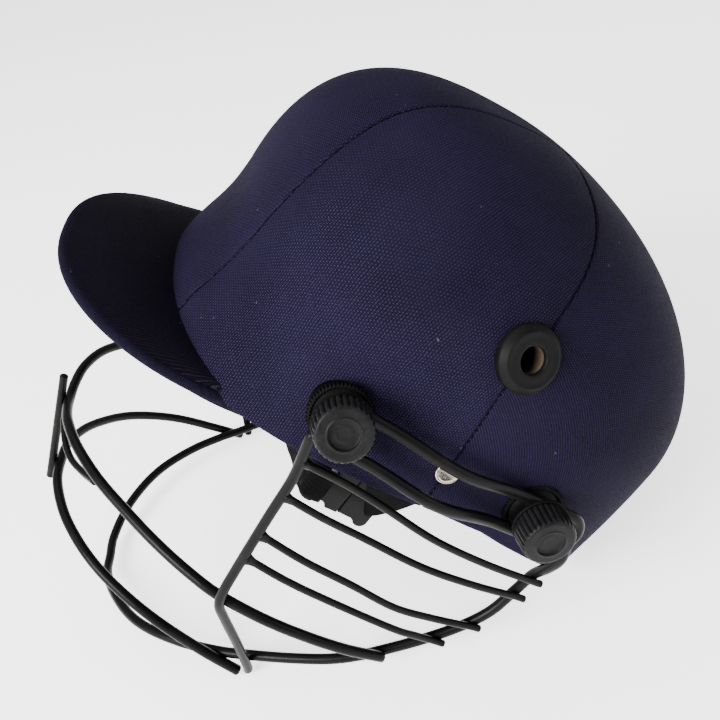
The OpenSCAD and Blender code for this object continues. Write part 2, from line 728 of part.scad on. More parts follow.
module right_slot_loop() color(black) rest() right_side() slot_loop();

upper_half = widened([[0, -155.4, -97], [12, -155.2, -95.5], [25, -153.2, -93], [41, -146.8, -91.5],
    [57, -135.3, -91.5], [72, -120.5, -91.5], [85, -106, -91.5], [95.6, -91.5, -91.5],
    [102.8, -78, -91.8], [108, -58, -92.5],
    [109.4, -38, -94], [108.3, -18, -96], [104.6, 2, -98.2]]);
lower_half = widened([[0, -147, -134.5], [15, -146, -135], [33, -139.5, -136], [48, -129.5, -137.2],
    [60.4, -117.5, -138.2], [71, -102, -139.5], [79.2, -85, -141], [85.8, -64, -143.2],
    [90.3, -45.8, -144.7]]);
edge_lap = 2.3;
edge_turn = 120;
edge_r = loop_r + edge_lap;
edge_end = slot_point(loop_centre + edge_r * sin(edge_turn), edge_r * cos(edge_turn));
edge_half = concat(widened([[0, -103, -185], [14, -103, -184], [32, -100, -177.5], [49.8, -93, -170.5],
    [62.4, -84.5, -163.5], [73.6, -72, -154.5], [81.4, -59, -146], [86.2, -48, -138.8],
    [94.8, -27, -123], [99.4, -10, -110],
    [100.2, 8, -94], [100.2, 25, -76], [100.2, 35, -60], [100.2, 38.5, -44], [101.5, 39.5, -32],
    [106.8, 39.2, -22], [110.2, 38.2, -13.6]]), [edge_end]);
module upper_bar() color(black) rest() bar(curve(both_sides(upper_half), 2), bar_d);
module lower_bar() color(black) rest() bar(curve(both_sides(lower_half), 2), bar_d);
module edge_bar() color(black) rest() bar(curve(both_sides(edge_half), 2), bar_d);
rod_low = widened([[111.6, -81.6, -18], [109.8, -80.8, -40], [108.6, -80, -70], [108.5, -79.4, -84],
    [107.9, -77.6, -92], [105, -71.5, -101], [98.6, -58, -119], [91.9, -44, -138.4], [90.5, -41.8, -142.2]]);
rod_path = concat([slot_point(rod_at, loop_r), slot_point(rod_at, 0), slot_point(rod_at, -loop_r),
    slot_point(rod_at, slot_drop - 12)], rod_low);
module front_rod() bar(curve(rod_path, 2), bar_d);
module left_front_rod() color(black) rest() front_rod();
module right_front_rod() color(black) rest() right_side() front_rod();
wires = [
    [[112.6, -80.7, -9.8], [112.6, -62, -12.5], [111.9, -44, -17], [110.4, -16, -25], [107.8, 12, -30],
        [105.5, 38, -32.4], [105.4, 42.6, -32.4]],
    [[110.9, -78.9, -28], [112, -62, -31], [111.2, -43, -34.4], [110, -12.6, -40], [106.8, 15, -43],
        [103.95, 37, -44], [103.8, 42.2, -44]],
    [[109.5, -78.4, -50], [111, -58, -54.5], [110.2, -35, -59.4], [109, -11, -65.2], [106, 10, -67.3],
        [104, 29, -67.2], [103.9, 33.7, -67]],
    [[108.9, -78, -63.6], [110.6, -60, -67], [110, -40, -71], [108, -5, -77.4], [105.5, 9, -79.8],
        [104, 19, -81], [103.9, 23.7, -81.2]]];
module side_wires() for (w = wires) bar(curve(widened(w), 2), wire_d, wire_sides);
module left_side_wires() color(black) rest() side_wires();
module right_side_wires() color(black) rest() right_side() side_wires();
centre_rod_d = 4;
rod_lap = (bar_d + centre_rod_d) / 2 - weld;
upper_mid = [0, upper_half[0].y - rod_lap, upper_half[0].z];
lower_mid = [0, lower_half[0].y - rod_lap, lower_half[0].z];
rod_over = 11;
module centre_rod() {
    way = unit(lower_mid - upper_mid);
    color(black)
        rest()
            on(upper_mid - way * rod_over, way)
                cylinder(d = centre_rod_d, h = norm(lower_mid - upper_mid) + 2 * rod_over);
}
brace = widened([[-3, -155.2, -100.8], [12, -154.8, -100.6], [25, -151.5, -102.6], [34, -146.6, -104.2],
    [45, -140.4, -100.6], [55, -135.9, -95.2]]);
module centre_brace() color(black) rest() bar(curve(brace, 3), wire_d, wire_sides);

// Chin strap: sewn webbing from each rivet, joined by a side release buckle under the left rim
buckle_w = 21;
buckle_t = 7.5;
buckle_wall = 1.6;
plug_len = 14;
front_round = 9;
lobe_r = 3.2;
buckle_mid = widened([[94.5, -55, -26.8]])[0];
buckle_pitch = 5;
buckle_way = [0, cos(buckle_pitch), -sin(buckle_pitch)];
buckle_up = [0, sin(buckle_pitch), cos(buckle_pitch)];
socket_len = buckle_len - plug_len;
prong_r = 2.4;
prong_len = 13;
web_slot_x = -8;
web_slot_w = 3;
// Local frame of the buckle: X along it to the rear, Y up across it, Z outwards
module buckle_frame() {
    translate(buckle_mid)
        multmatrix([[0, 0, 1, 0], [buckle_way.y, buckle_up.y, 0, 0],
            [buckle_way.z, buckle_up.z, 0, 0], [0, 0, 0, 1]])
            children();
}
module rounded(x0, x1, w, r) {
    translate([x0 + r, -w / 2 + r])
        offset(r)
            square([x1 - x0 - 2 * r, w - 2 * r]);
}
module lozenge(a, b, r) {
    hull() {
        translate(a)
            circle(r, $fn = 24);
        translate(b)
            circle(r, $fn = 24);
    }
}
x_front = -buckle_len / 2;
x_split = x_front + socket_len;
x_rear = buckle_len / 2;
prong_y = buckle_w / 2 - buckle_wall - prong_r;
module buckle_socket() {
    pocket_w = buckle_w - 2 * buckle_wall;
    color(black)
        rest()
            buckle_frame()
                difference() {
                    translate([0, 0, -buckle_t / 2])
                        linear_extrude(buckle_t)
                            difference() {
                                rounded(x_front, x_split + front_round, buckle_w, front_round);
                                translate([x_split, -buckle_w])
                                    square(2 * buckle_w);
                                for (y = [-1, 1])
                                    translate([x_split - 9, y * (buckle_w / 2 + 1.2)])
                                        circle(3.6);
                            }
                    translate([x_split - prong_len - 1, -pocket_w / 2, -buckle_t / 2 + buckle_wall])
                        cube([prong_len + 2, pocket_w, buckle_t - 2 * buckle_wall]);
                    translate([web_slot_x, -strap_w / 2 - 0.5, -buckle_t])
                        cube([web_slot_w, strap_w + 1, 2 * buckle_t]);
                }
}
module buckle_plug() {
    color(black)
        rest()
            buckle_frame() {
                translate([0, 0, -buckle_t / 2])
                    linear_extrude(buckle_t)
                        difference() {
                            union() {
                                rounded(x_split + seat_gap, x_rear, buckle_w, 2.5);
                                for (y = [-1, 1])
                                    translate([x_rear - lobe_r, y * (buckle_w / 2 - 1)])
                                        circle(lobe_r, $fn = 24);
                            }
                            translate([x_rear - 8, -strap_w / 2 + 1])
                                square([4.5, strap_w - 2]);
                        }
                prong_t = buckle_t - 2 * buckle_wall - 2 * seat_gap;
                translate([0, 0, -prong_t / 2])
                    linear_extrude(prong_t) {
                        for (y = [-1, 1])
                            lozenge([x_split - prong_len + prong_r + 1, y * prong_y * 0.96],
                                [x_split + 2, y * prong_y * 0.8], prong_r * 0.8);
                        translate([x_split - prong_len + 2, -1.2])
                            square([prong_len, 2.4]);
                    }
            }
}
// The webbing hangs in a channel behind the pads, from its rivet to below the rim
function strap_top(el) = skin(rivet_az, el, strap_off);
// The webbing ends lie on the outside of the buckle
strap_gap = 0.6;
over_x = buckle_mid.x + buckle_t / 2 + strap_gap + strap_t / 2;
strap_outline = [[-strap_w / 2, -strap_t / 2], [strap_w / 2, -strap_t / 2], [strap_w / 2, strap_t / 2],
    [-strap_w / 2, strap_t / 2]];
left_route = concat([strap_top(7.5), strap_top(2.8), strap_top(-3) + [0, -1, 0]],
    widened([[102.8, -33, -11.5], [100.8, -36.4, -18]]), [[over_x, -40.5, -23], [over_x, -43.5, -26]]);
chin_points = widened([[97.2, -77.4, -24], [92, -80.4, -23.4], [84, -81, -22.8], [70, -79, -25],
    [48, -71, -31], [20, -60, -38.5], [-12, -49, -43.5], [-44, -40, -42.5],
    [-72, -33, -35], [-92, -29.5, -24], [-101, -28.6, -14]]);
right_route = concat([[over_x, -61.5, -26.5], [over_x, -68, -25.4], [over_x, -72.5, -24.7]],
    chin_points, [for (el = [-3, 2.8, 7.5]) flip(strap_top(el))]);
right_twist = [90, 90, 90, 90, 90, 85, 75, 62, 50, 40, 30, 20, 10, 0, 0, 0, 0];
module left_strap() {
    path = curve(left_route, 3);
    color(black)
        rest()
            difference() {
                sweep(path, strap_outline, [for (t = along(path)) [0, -t.z, t.y]]);
                through(rivet_p, rivet_n, rivet_shank / 2 + turn_gap);
            }
}
module right_strap() {
    path = curve(right_route, 3);
    twist = curve([for (a = right_twist) [a, 0, 0]], 3);
    color(black)
        rest()
            difference() {
                sweep(path, strap_outline, [for (a = twist) [0, cos(a.x), sin(a.x)]]);
                right_side()
                    through(rivet_p, rivet_n, rivet_shank / 2 + turn_gap);
            }
}

shell();
cover_front();
cover_left();
cover_right();
cover_rear();
peak_board();
peak_top_cloth();
peak_under_cloth();
peak_binding();
impact_liner();
front_pad();
crown_pad();
left_pad();
right_pad();
rear_pad();
left_eyelet();
right_eyelet();
left_eyelet_ring();
right_eyelet_ring();
left_rivet();
right_rivet();
rivet_washers();
left_strap();
right_strap();
buckle_socket();
buckle_plug();
left_front_seat();
left_rear_seat();
right_front_seat();
right_rear_seat();
left_front_bolt();
left_rear_bolt();
right_front_bolt();
right_rear_bolt();
left_front_washer();
left_rear_washer();
right_front_washer();
right_rear_washer();
left_front_knob();
left_rear_knob();
right_front_knob();
right_rear_knob();
upper_bar();
lower_bar();
edge_bar();
left_slot_loop();
right_slot_loop();
left_front_rod();
right_front_rod();
left_side_wires();
right_side_wires();
centre_rod();
centre_brace();
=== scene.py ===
import math
import bmesh
import bpy
import numpy as np
from mathutils import Matrix, Vector


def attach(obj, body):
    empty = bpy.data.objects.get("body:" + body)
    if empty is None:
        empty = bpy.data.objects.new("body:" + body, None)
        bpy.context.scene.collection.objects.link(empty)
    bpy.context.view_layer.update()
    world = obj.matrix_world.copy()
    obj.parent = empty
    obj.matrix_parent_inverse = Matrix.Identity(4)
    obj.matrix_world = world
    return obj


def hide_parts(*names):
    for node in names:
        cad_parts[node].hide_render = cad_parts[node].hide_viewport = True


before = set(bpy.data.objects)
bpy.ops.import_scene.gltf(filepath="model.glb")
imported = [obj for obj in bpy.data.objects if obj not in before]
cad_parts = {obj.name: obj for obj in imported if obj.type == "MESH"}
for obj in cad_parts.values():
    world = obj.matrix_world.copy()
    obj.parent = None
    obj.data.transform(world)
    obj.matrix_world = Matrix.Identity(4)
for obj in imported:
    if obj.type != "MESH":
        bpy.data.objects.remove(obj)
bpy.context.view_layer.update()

# Worn frame in millimetres to the row frame in metres: the helmet lies tipped on its guard
TIP = math.radians(37.139)
SHIFT = np.array([0, 52.435, 91.2834])
COS, SIN = math.cos(TIP), math.sin(TIP)


def turned(p):
    p = np.asarray(p, float)
    return np.stack([p[..., 0], p[..., 1] * COS + p[..., 2] * SIN, -p[..., 1] * SIN + p[..., 2] * COS], -1)


def rest(p):
    return (turned(p) + SHIFT) / 1000


def worn(p):
    p = np.asarray(p, float) * 1000 - SHIFT
    return np.stack([p[..., 0], p[..., 1] * COS - p[..., 2] * SIN, p[..., 1] * SIN + p[..., 2] * COS], -1)


def unit(v):
    v = np.asarray(v, float)
    return v / np.maximum(np.linalg.norm(v, axis=-1, keepdims=True), 1e-12)


def flip(p):
    return np.asarray(p, float) * np.array([-1, 1, 1])


def new_object(name, data):
    o = bpy.data.objects.new(name, data)
    bpy.context.scene.collection.objects.link(o)
    return o


# Camera at the photograph's place, in the worn frame: degrees, millimetres, and pixels of a square picture
CAMERA_TURN = (68.2, 25.5, 31.8)
CAMERA_AWAY, CAMERA_TARGET = 444.1, np.array([0, -35.2, -23.1])
SENSOR, PICTURE, FOCAL = 36, 720, 913.7
OFF_CENTRE = (-3.9, 8.3)


def make_camera():
    az, el, roll = (math.radians(a) for a in CAMERA_TURN)
    back = np.array([math.sin(az) * math.cos(el), -math.cos(az) * math.cos(el), math.sin(el)])
    right = np.array([math.cos(az), math.sin(az), 0])
    up = np.cross(back, right)
    x = right * math.cos(roll) + up * math.sin(roll)
    y = -right * math.sin(roll) + up * math.cos(roll)
    data = bpy.data.cameras.new("camera")
    data.sensor_width = SENSOR
    data.lens = SENSOR * FOCAL / PICTURE
    data.shift_x, data.shift_y = (v / PICTURE for v in OFF_CENTRE)
    data.clip_start, data.clip_end = 0.01, 30
    cam = new_object("camera", data)
    spin = np.stack([turned(x), turned(y), turned(back)], 1)
    m = Matrix(spin.tolist()).to_4x4()
    m.translation = Vector(rest(CAMERA_TARGET + back * CAMERA_AWAY))
    cam.matrix_world = m
    bpy.context.scene.camera = cam


make_camera()

# Outline of the shell, the same rounded powers as the solids
SHELL_W, FRONT_LEN, BACK_LEN, CROWN_H = 219, 90.5, 134, 93
PLAN_Q, SIDE_Q, FRONT_Q, BACK_Q = 2.4, 2.2, 2.7, 1.93
CROWN_Y, GIRTH_Z, SKIRT_RUN = -36, 20.5, 273
SEAM_Y = -8
FLARE, FLARE_TOP, FLARE_RUN = 10, 40, 50
EYE = np.array([0.0, SEAM_Y, 0.0])
INNER_OFF, LINER_OFF, PAD_OFF = 4.2, 4.5, 15.45
LINER_T, PAD_T = 10, 9


def bend(t, q):
    """From 1 at t = 0 down to 0 at t = 1, as a rounded power of q."""
    return np.maximum(0, 1 - np.maximum(t, 0) ** q) ** (1 / q)


def rise(z, off):
    return np.minimum(1, np.where(z > GIRTH_Z, (z - GIRTH_Z) / (CROWN_H - off), (GIRTH_Z - z) / SKIRT_RUN))


def outside(p, off):
    """Above zero where p lies outside the cloth's surface moved in by off."""
    x, y, z = p[..., 0], p[..., 1], p[..., 2]
    r = rise(z, off)
    w = np.maximum((SHELL_W / 2 - off) * bend(r, SIDE_Q), 1e-3)
    flare = FLARE * np.clip((FLARE_TOP - z) / FLARE_RUN, 0, 1.3) ** 1.5
    f = CROWN_Y - (FRONT_LEN - off) * bend(r, FRONT_Q) - flare
    b = CROWN_Y + (BACK_LEN - off) * bend(r, BACK_Q)
    e = np.abs(x / w) ** PLAN_Q + np.abs((2 * y - f - b) / np.maximum(b - f, 1e-3)) ** PLAN_Q - 1
    return np.where(r >= 1, 1, e)


def reach(start, way, off, low=30.0, high=200.0):
    """How far from start along way that surface is, by halving."""
    shape = np.broadcast(way[..., 0], off).shape
    lo, hi = np.full(shape, low), np.full(shape, high)
    for _ in range(34):
        mid = (lo + hi) / 2
        out = outside(start + way * mid[..., None], off) > 0
        hi, lo = np.where(out, mid, hi), np.where(out, lo, mid)
    return (lo + hi) / 2


def aim(az, el):
    az, el = np.radians(az), np.radians(el)
    return np.stack([np.cos(el) * np.cos(az), np.cos(el) * np.sin(az), np.sin(el) + 0 * az], -1)


def skin(az, el, off=0.0):
    """The point seen from EYE at this azimuth and elevation, off millimetres under the cloth."""
    az, el, off = np.broadcast_arrays(np.asarray(az, float), np.asarray(el, float), np.asarray(off, float))
    way = aim(az, el)
    return EYE + way * reach(EYE, way, off)[..., None]


def slope(p):
    """The outward normal of the cloth at p."""
    e = 0.5 * np.eye(3)
    return unit(np.stack([outside(p + e[i], 0) - outside(p - e[i], 0) for i in range(3)], -1))


def smooth(t):
    t = np.clip(t, 0, 1)
    return t * t * (3 - 2 * t)


def around(az):
    c, s = np.abs(np.cos(np.radians(az))), np.sin(np.radians(az))
    return s / (c ** PLAN_Q + np.abs(s) ** PLAN_Q) ** (1 / PLAN_Q)


def rim_el(az):
    a = around(az)
    z = -14 - 32 * np.clip((a - 0.08) / 0.92, 0, 1) ** 1.2 - 3 * smooth(-2 * a - 1)
    part = np.clip(0.55 + 0.5 * np.sin(np.radians(az)), 0, 1)
    return np.degrees(np.arctan(z / (127 + (103 - 127) * part)))


def side_angle(az):
    """Degrees to the rear of straight sideways, the same on both sides."""
    return np.degrees(np.arctan2(np.sin(np.radians(az)), np.abs(np.cos(np.radians(az)))))


def hem_el(az):
    """The cloth's hem hangs a little lower than the solids behind each ear."""
    side = side_angle(az)
    drop = 1.75 * smooth((side + 13) / 26) * (1 - smooth((side - 50) / 16))
    return rim_el(az) - (drop + 2.1 * np.exp(-(((side - 48) / 7.5) ** 2)))


def brow(az, el):
    """The front cloth bulges out over the root of the peak."""
    return 3.6 * np.exp(-(((el + 1.5) / 8.5) ** 2)) * smooth((-side_angle(az) - 42) / 14)


def front_seam(el):
    return -71.5 + 5.5 * np.exp(-(((el - 33) / 20) ** 2))


def rear_seam(el):
    return -10.5 + 13 * smooth((el - 18) / 52)


# Curves through points, with the same steps as the solids' bars
def curve(points, steps):
    p = np.asarray(points, float)
    p = np.vstack([2 * p[0] - p[1], p, 2 * p[-1] - p[-2]])
    out = []
    for i in range(1, len(p) - 2):
        a, b, c, d = p[i - 1 : i + 3]
        for k in range(steps):
            t = k / steps
            out.append(0.5 * (
                2 * b + (c - a) * t + (2 * a - 5 * b + 4 * c - d) * t * t + (3 * b - a - 3 * c + d) * t ** 3
            ))
    out.append(p[-2])
    return np.array(out)


def run(path):
    """Length along a path up to each of its points."""
    return np.concatenate([[0], np.cumsum(np.linalg.norm(np.diff(path, axis=0), axis=1))])


def both_sides(half):
    half = np.asarray(half, float)
    return np.vstack([flip(half[:0:-1]), half])


def along(path):
    t = np.empty_like(path)
    t[1:-1] = path[2:] - path[:-2]
    t[0], t[-1] = path[1] - path[0], path[-1] - path[-2]
    return unit(t)


def carried(path, side):
    """The path's directions, and a side direction carried along it without twist."""
    t = along(path)
    s = np.asarray(side, float)
    out = []
    for v in t:
        s = unit(s - v * (s @ v))
        out.append(s)
    return t, np.array(out)


# Meshes
def add_mesh(name, points, faces, material, uv=None):
    me = bpy.data.meshes.new(name)
    me.from_pydata(rest(points).tolist(), [], [tuple(map(int, f)) for f in faces])
    me.polygons.foreach_set("use_smooth", [True] * len(me.polygons))
    if uv is not None:
        layer = me.uv_layers.new(name="cloth")
        idx = np.empty(len(me.loops), np.int32)
        me.loops.foreach_get("vertex_index", idx)
        layer.data.foreach_set("uv", np.asarray(uv, np.float32)[idx].ravel())
    me.materials.append(material)
    me.update()
    return new_object(name, me)


def grid_faces(rows, cols, wrap=False, base=0, turn=False):
    out = []
    for j in range(rows - 1):
        for i in range(cols if wrap else cols - 1):
            k = (i + 1) % cols
            low, high = base + j * cols, base + (j + 1) * cols
            f = (low + i, low + k, high + k, high + i)
            out.append(f[::-1] if turn else f)
    return out


def uv_grid(across, down):
    """Cloth coordinates of a grid of points, in millimetres."""
    return np.stack(np.broadcast_arrays(across[None], down[:, None]), -1).reshape(-1, 2)


def end_faces(rings, n, base=0):
    """The two flat ends of a stack of rings with n points each."""
    last = base + (rings - 1) * n
    return [tuple(range(base, base + n))[::-1], tuple(range(last, last + n))]


def corners(me):
    co = np.empty(len(me.vertices) * 3)
    me.vertices.foreach_get("co", co)
    return co.reshape(-1, 3)


def faces_of(me):
    return [tuple(f.vertices) for f in me.polygons]


def evaluated(o):
    return bpy.data.meshes.new_from_object(o.evaluated_get(bpy.context.evaluated_depsgraph_get()))


def outward(o, merge=0.0):
    """Faces turned outwards, once corners closer than merge are one."""
    bm = bmesh.new()
    bm.from_mesh(o.data)
    if merge:
        bmesh.ops.remove_doubles(bm, verts=bm.verts, dist=merge)
    bmesh.ops.recalc_face_normals(bm, faces=bm.faces)
    bm.to_mesh(o.data)
    bm.free()
    return o


def tube(name, path, r, material, sides):
    """Bar with rounded ends."""
    path = np.asarray(path, float)
    t, s = carried(path, (0.1, 0.2, 1))
    u = np.cross(t, s)
    ang = np.arange(sides) * 2 * np.pi / sides
    circle = np.cos(ang)[:, None, None] * s[None] + np.sin(ang)[:, None, None] * u[None]

    def cap(k, sign):
        shares = (0.12, 0.4, 0.7, 0.92)
        pole = sign * t[k] * r * 0.45
        return [path[k] + pole * math.sqrt(1 - a * a) + circle[:, k] * r * a for a in shares]

    rings = cap(0, -1) + [path[k] + circle[:, k] * r for k in range(len(path))] + cap(len(path) - 1, 1)[::-1]
    faces = grid_faces(len(rings), sides, wrap=True) + end_faces(len(rings), sides)
    return outward(add_mesh(name, np.array(rings).reshape(-1, 3), faces, material))


def basis(n):
    z = unit(n)
    x = unit(np.cross([0.0, 0.31, 0.95], z))
    return x, np.cross(z, x), z


def lathe(name, profile, q, n, material, seg=96, radius=None, close=True):
    """Turned piece: profile holds (radius, height) pairs, and radius() varies the radius with the angle."""
    prof = np.asarray(profile, float)
    ang = np.arange(seg) * 2 * np.pi / seg
    x, y, z = basis(n)
    pts = []
    for r, h in prof:
        rr = np.full(seg, r) if radius is None else radius(ang, r, h)
        pts.append(q + (np.cos(ang) * rr)[:, None] * x + (np.sin(ang) * rr)[:, None] * y + z * h)
    pts = np.array(pts).reshape(-1, 3)
    faces = grid_faces(len(prof), seg, wrap=True)
    if close:
        last = (len(prof) - 1) * seg
        faces += [(k, (k + 1) % seg, last + (k + 1) % seg, last + k) for k in range(seg)]
    return outward(add_mesh(name, pts, faces, material))


# Materials
class Look:
    def __init__(self, name, color, rough, **sockets):
        self.m = bpy.data.materials.new(name)
        self.m.use_nodes = True
        self.tree = self.m.node_tree
        self.out = self.tree.nodes["Principled BSDF"]
        self.place = self.node("ShaderNodeTexCoord").outputs["Object"]
        self.feed(self.out, {"Base Color": color, "Roughness": rough})
        self.feed(self.out, {k.replace("_", " "): v for k, v in sockets.items()})

    def node(self, kind, **settings):
        n = self.tree.nodes.new(kind)
        for k, v in settings.items():
            setattr(n, k, v)
        return n

    def link(self, a, b):
        self.tree.links.new(a, b)

    def feed(self, n, sockets):
        """Numbers, colours and other nodes' outputs into the sockets of n."""
        for k, v in sockets.items():
            if isinstance(v, tuple):
                n.inputs[k].default_value = (*v, 1)
            elif isinstance(v, (int, float)):
                n.inputs[k].default_value = v
            elif v is not None:
                self.link(v, n.inputs[k])
        return n

    def math(self, op, a, b=None, clamp=False):
        n = self.node("ShaderNodeMath", operation=op, use_clamp=clamp)
        return self.feed(n, {0: a, 1: b}).outputs[0]

    def noise(self, scale, detail=4, rough=0.55):
        n = self.node("ShaderNodeTexNoise")
        self.feed(n, {"Scale": scale, "Detail": detail, "Roughness": rough, "Vector": self.place})
        return n.outputs["Fac"]

    def cells(self, scale):
        n = self.node("ShaderNodeTexVoronoi")
        return self.feed(n, {"Scale": scale, "Vector": self.place}).outputs["Distance"]

    def ramp(self, fac, stops):
        n = self.node("ShaderNodeValToRGB")
        e = n.color_ramp.elements
        while len(e) < len(stops):
            e.new(0.5)
        for k, (at, c) in enumerate(stops):
            e[k].position = at
            e[k].color = (*c, 1)
        self.link(fac, n.inputs[0])
        return n.outputs[0]

    def fit(self, fac, a, b, c, d):
        n = self.node("ShaderNodeMapRange")
        self.feed(n, {"Value": fac, "From Min": a, "From Max": b, "To Min": c, "To Max": d})
        return n.outputs["Result"]

    def mix(self, fac, a, b, kind="MIX"):
        n = self.node("ShaderNodeMix", data_type="RGBA", blend_type=kind)
        return self.feed(n, {0: fac, 6: a, 7: b}).outputs[2]

    def color(self, out):
        self.link(out, self.out.inputs["Base Color"])

    def rough(self, out):
        self.link(out, self.out.inputs["Roughness"])

    def bump(self, height, distance):
        n = self.feed(self.node("ShaderNodeBump"), {"Strength": 1, "Distance": distance, "Height": height})
        self.link(n.outputs[0], self.out.inputs["Normal"])


def woven(name, dark, light, pitch=0.8, rib=0, turn=4):
    """Plain weave: warp and weft cross in a chequer of small raised threads, pitch millimetres apart."""
    sheen = dict(Sheen_Weight=0.006, Sheen_Roughness=0.3, Sheen_Tint=(0.55, 0.52, 0.8))
    k = Look(name, light, 0.8, IOR=1.1, **sheen)
    uv = k.node("ShaderNodeUVMap", uv_map="cloth").outputs[0]
    wob = k.feed(k.node("ShaderNodeTexNoise"), {"Scale": 0.16, "Detail": 2, "Vector": uv})
    spin = k.node("ShaderNodeVectorRotate", rotation_type="Z_AXIS")
    k.feed(spin, {"Angle": math.radians(turn), "Vector": uv})
    sep = k.feed(k.node("ShaderNodeSeparateXYZ"), {0: spin.outputs[0]})
    drift = k.fit(wob.outputs["Fac"], 0, 1, -0.5, 0.5)
    u, v = k.math("ADD", sep.outputs[0], drift), k.math("SUBTRACT", sep.outputs[1], drift)
    u = k.math("SINE", k.math("MULTIPLY", u, math.pi / pitch / 1.25))
    v = k.math("SINE", k.math("MULTIPLY", v, math.pi / pitch / 0.78))
    if rib:
        v = k.fit(v, -1, 1, 1 - rib, 1)
    s = k.math("MULTIPLY", u, v)
    tops = k.math("POWER", k.math("ABSOLUTE", s), 0.6)
    fine = k.noise(900, 3)
    big = k.noise(16, 4)
    fleck = k.noise(420, 1, 0.4)
    uneven = k.fit(k.noise(760, 2, 0.6), 0.3, 0.7, -0.45, 0.45)
    warp = k.math("ADD", k.fit(s, -0.55, 0.75, 0, 1), uneven, clamp=True)
    base = k.mix(warp, dark, light)
    # Painted shade: between the thread crowns, where the bump sinks, the colour drops to a tenth of the dark
    # thread colour.
    shaded_gaps = k.mix(k.fit(tops, 0.4, 0.95, 0, 1), tuple(c * 0.1 for c in dark), base)
    toned = k.mix(k.fit(big, 0.3, 0.7, 0, 0.5), shaded_gaps, tuple(c * 1.3 for c in dark), "SCREEN")
    speck = k.fit(fleck, 0.79, 0.83, 0, 0.35)
    k.color(k.mix(speck, toned, (0.12, 0.12, 0.13)))
    k.rough(k.fit(fine, 0.3, 0.7, 0.66, 0.86))
    small = k.math("ADD", k.math("MULTIPLY", s, 0.25), k.math("MULTIPLY", fine, 0.35))
    k.bump(k.math("ADD", k.math("MULTIPLY", tops, 0.8), small), 0.0002)
    return k.m


NAVY_DARK = (0.0066, 0.0050, 0.0148)
NAVY_LIGHT = (0.0205, 0.0155, 0.0425)
cloth_mat = woven("navy_cloth", NAVY_DARK, NAVY_LIGHT)
peak_mat = woven("peak_cloth", (0.0024, 0.0017, 0.0046), (0.0118, 0.0088, 0.0192), pitch=0.5, rib=0.6, turn=0)
edge_mat = woven("peak_edge_cloth", (0.0038, 0.003, 0.009), (0.0170, 0.0136, 0.0345), pitch=0.7, turn=0)


def thread():
    k = Look("thread", (0.002, 0.002, 0.004), 0.9, IOR=1.1)
    k.bump(k.noise(2500, 2), 0.00006)
    k.color(k.ramp(k.noise(300, 2), [(0.3, (0.001, 0.001, 0.002)), (0.7, (0.0045, 0.004, 0.009))]))
    return k.m


def coated_steel():
    k = Look("black_coated_steel", (0.003, 0.003, 0.003), 0.33, IOR=1.16)
    peel = k.noise(650, 2, 0.4)
    wear = k.noise(48, 5, 0.7)
    dark, mid, worn_off = (0.0022, 0.0022, 0.0024), (0.004, 0.0038, 0.0036), (0.009, 0.008, 0.007)
    k.color(k.ramp(wear, [(0.35, dark), (0.62, mid), (0.75, worn_off)]))
    k.rough(k.fit(wear, 0.35, 0.75, 0.27, 0.46))
    k.bump(peel, 0.00005)
    return k.m


def plastic(name, color, rough, depth=0.00003, dust=0.0, dust_color=(0.03, 0.029, 0.028), ior=1.15):
    k = Look(name, color, rough, IOR=ior)
    g = k.noise(1500, 3)
    d = k.noise(70, 6, 0.75)
    specks = k.noise(1300, 2, 0.5)
    shades = [(0.3, tuple(c * 0.8 for c in color)), (0.7, tuple(c * 1.25 for c in color))]
    base = k.ramp(k.noise(30, 4), shades)
    amount = k.math("MULTIPLY", k.fit(d, 0.4, 0.75, 0, dust), k.fit(specks, 0.35, 0.7, 0.3, 1.0))
    k.color(k.mix(amount, base, dust_color))
    k.rough(k.fit(d, 0.35, 0.75, rough - 0.05, rough + 0.12))
    k.bump(g, depth)
    return k.m


def rubber():
    k = Look("black_rubber", (0.002, 0.002, 0.002), 0.6, IOR=1.12)
    d = k.noise(90, 5, 0.7)
    k.color(k.ramp(d, [(0.35, (0.001, 0.001, 0.001)), (0.7, (0.004, 0.004, 0.004))]))
    k.bump(k.noise(1100, 3), 0.00005)
    return k.m


def polished():
    k = Look("polished_rivet", (0.78, 0.76, 0.73), 0.18, Metallic=1.0)
    d = k.noise(160, 5, 0.7)
    k.color(k.ramp(d, [(0.3, (0.42, 0.35, 0.27)), (0.6, (0.62, 0.58, 0.52))]))
    k.rough(k.fit(d, 0.3, 0.75, 0.14, 0.34))
    k.bump(k.noise(500, 3), 0.00004)
    return k.m


def zinc():
    k = Look("zinc_steel", (0.5, 0.5, 0.5), 0.35, Metallic=1.0)
    d = k.noise(120, 5, 0.7)
    k.color(k.ramp(d, [(0.3, (0.33, 0.33, 0.32)), (0.7, (0.58, 0.58, 0.57))]))
    k.rough(k.fit(d, 0.3, 0.7, 0.28, 0.5))
    return k.m


def webbing():
    k = Look("webbing", (0.005, 0.005, 0.0055), 0.72, Sheen_Weight=0.006, Sheen_Roughness=0.4, IOR=1.12)
    uv = k.node("ShaderNodeUVMap", uv_map="cloth").outputs[0]
    sep = k.feed(k.node("ShaderNodeSeparateXYZ"), {0: uv})
    a = k.math("SINE", k.math("MULTIPLY", sep.outputs[0], math.pi / 0.55))
    slant = k.math("ADD", sep.outputs[1], k.math("MULTIPLY", k.math("ABSOLUTE", a), 0.35))
    b = k.math("SINE", k.math("MULTIPLY", slant, math.pi / 0.45))
    h = k.math("ABSOLUTE", k.math("MULTIPLY", a, b))
    # Painted shade: the colour follows the rib height h, near black in the dips between the ribs.
    shades = [(0.05, (0.001, 0.001, 0.001)), (0.6, (0.003, 0.003, 0.0034)), (1.0, (0.007, 0.0068, 0.0068))]
    k.color(k.ramp(h, shades))
    k.bump(k.math("ADD", h, k.math("MULTIPLY", k.noise(1500, 2), 0.3)), 0.00022)
    return k.m


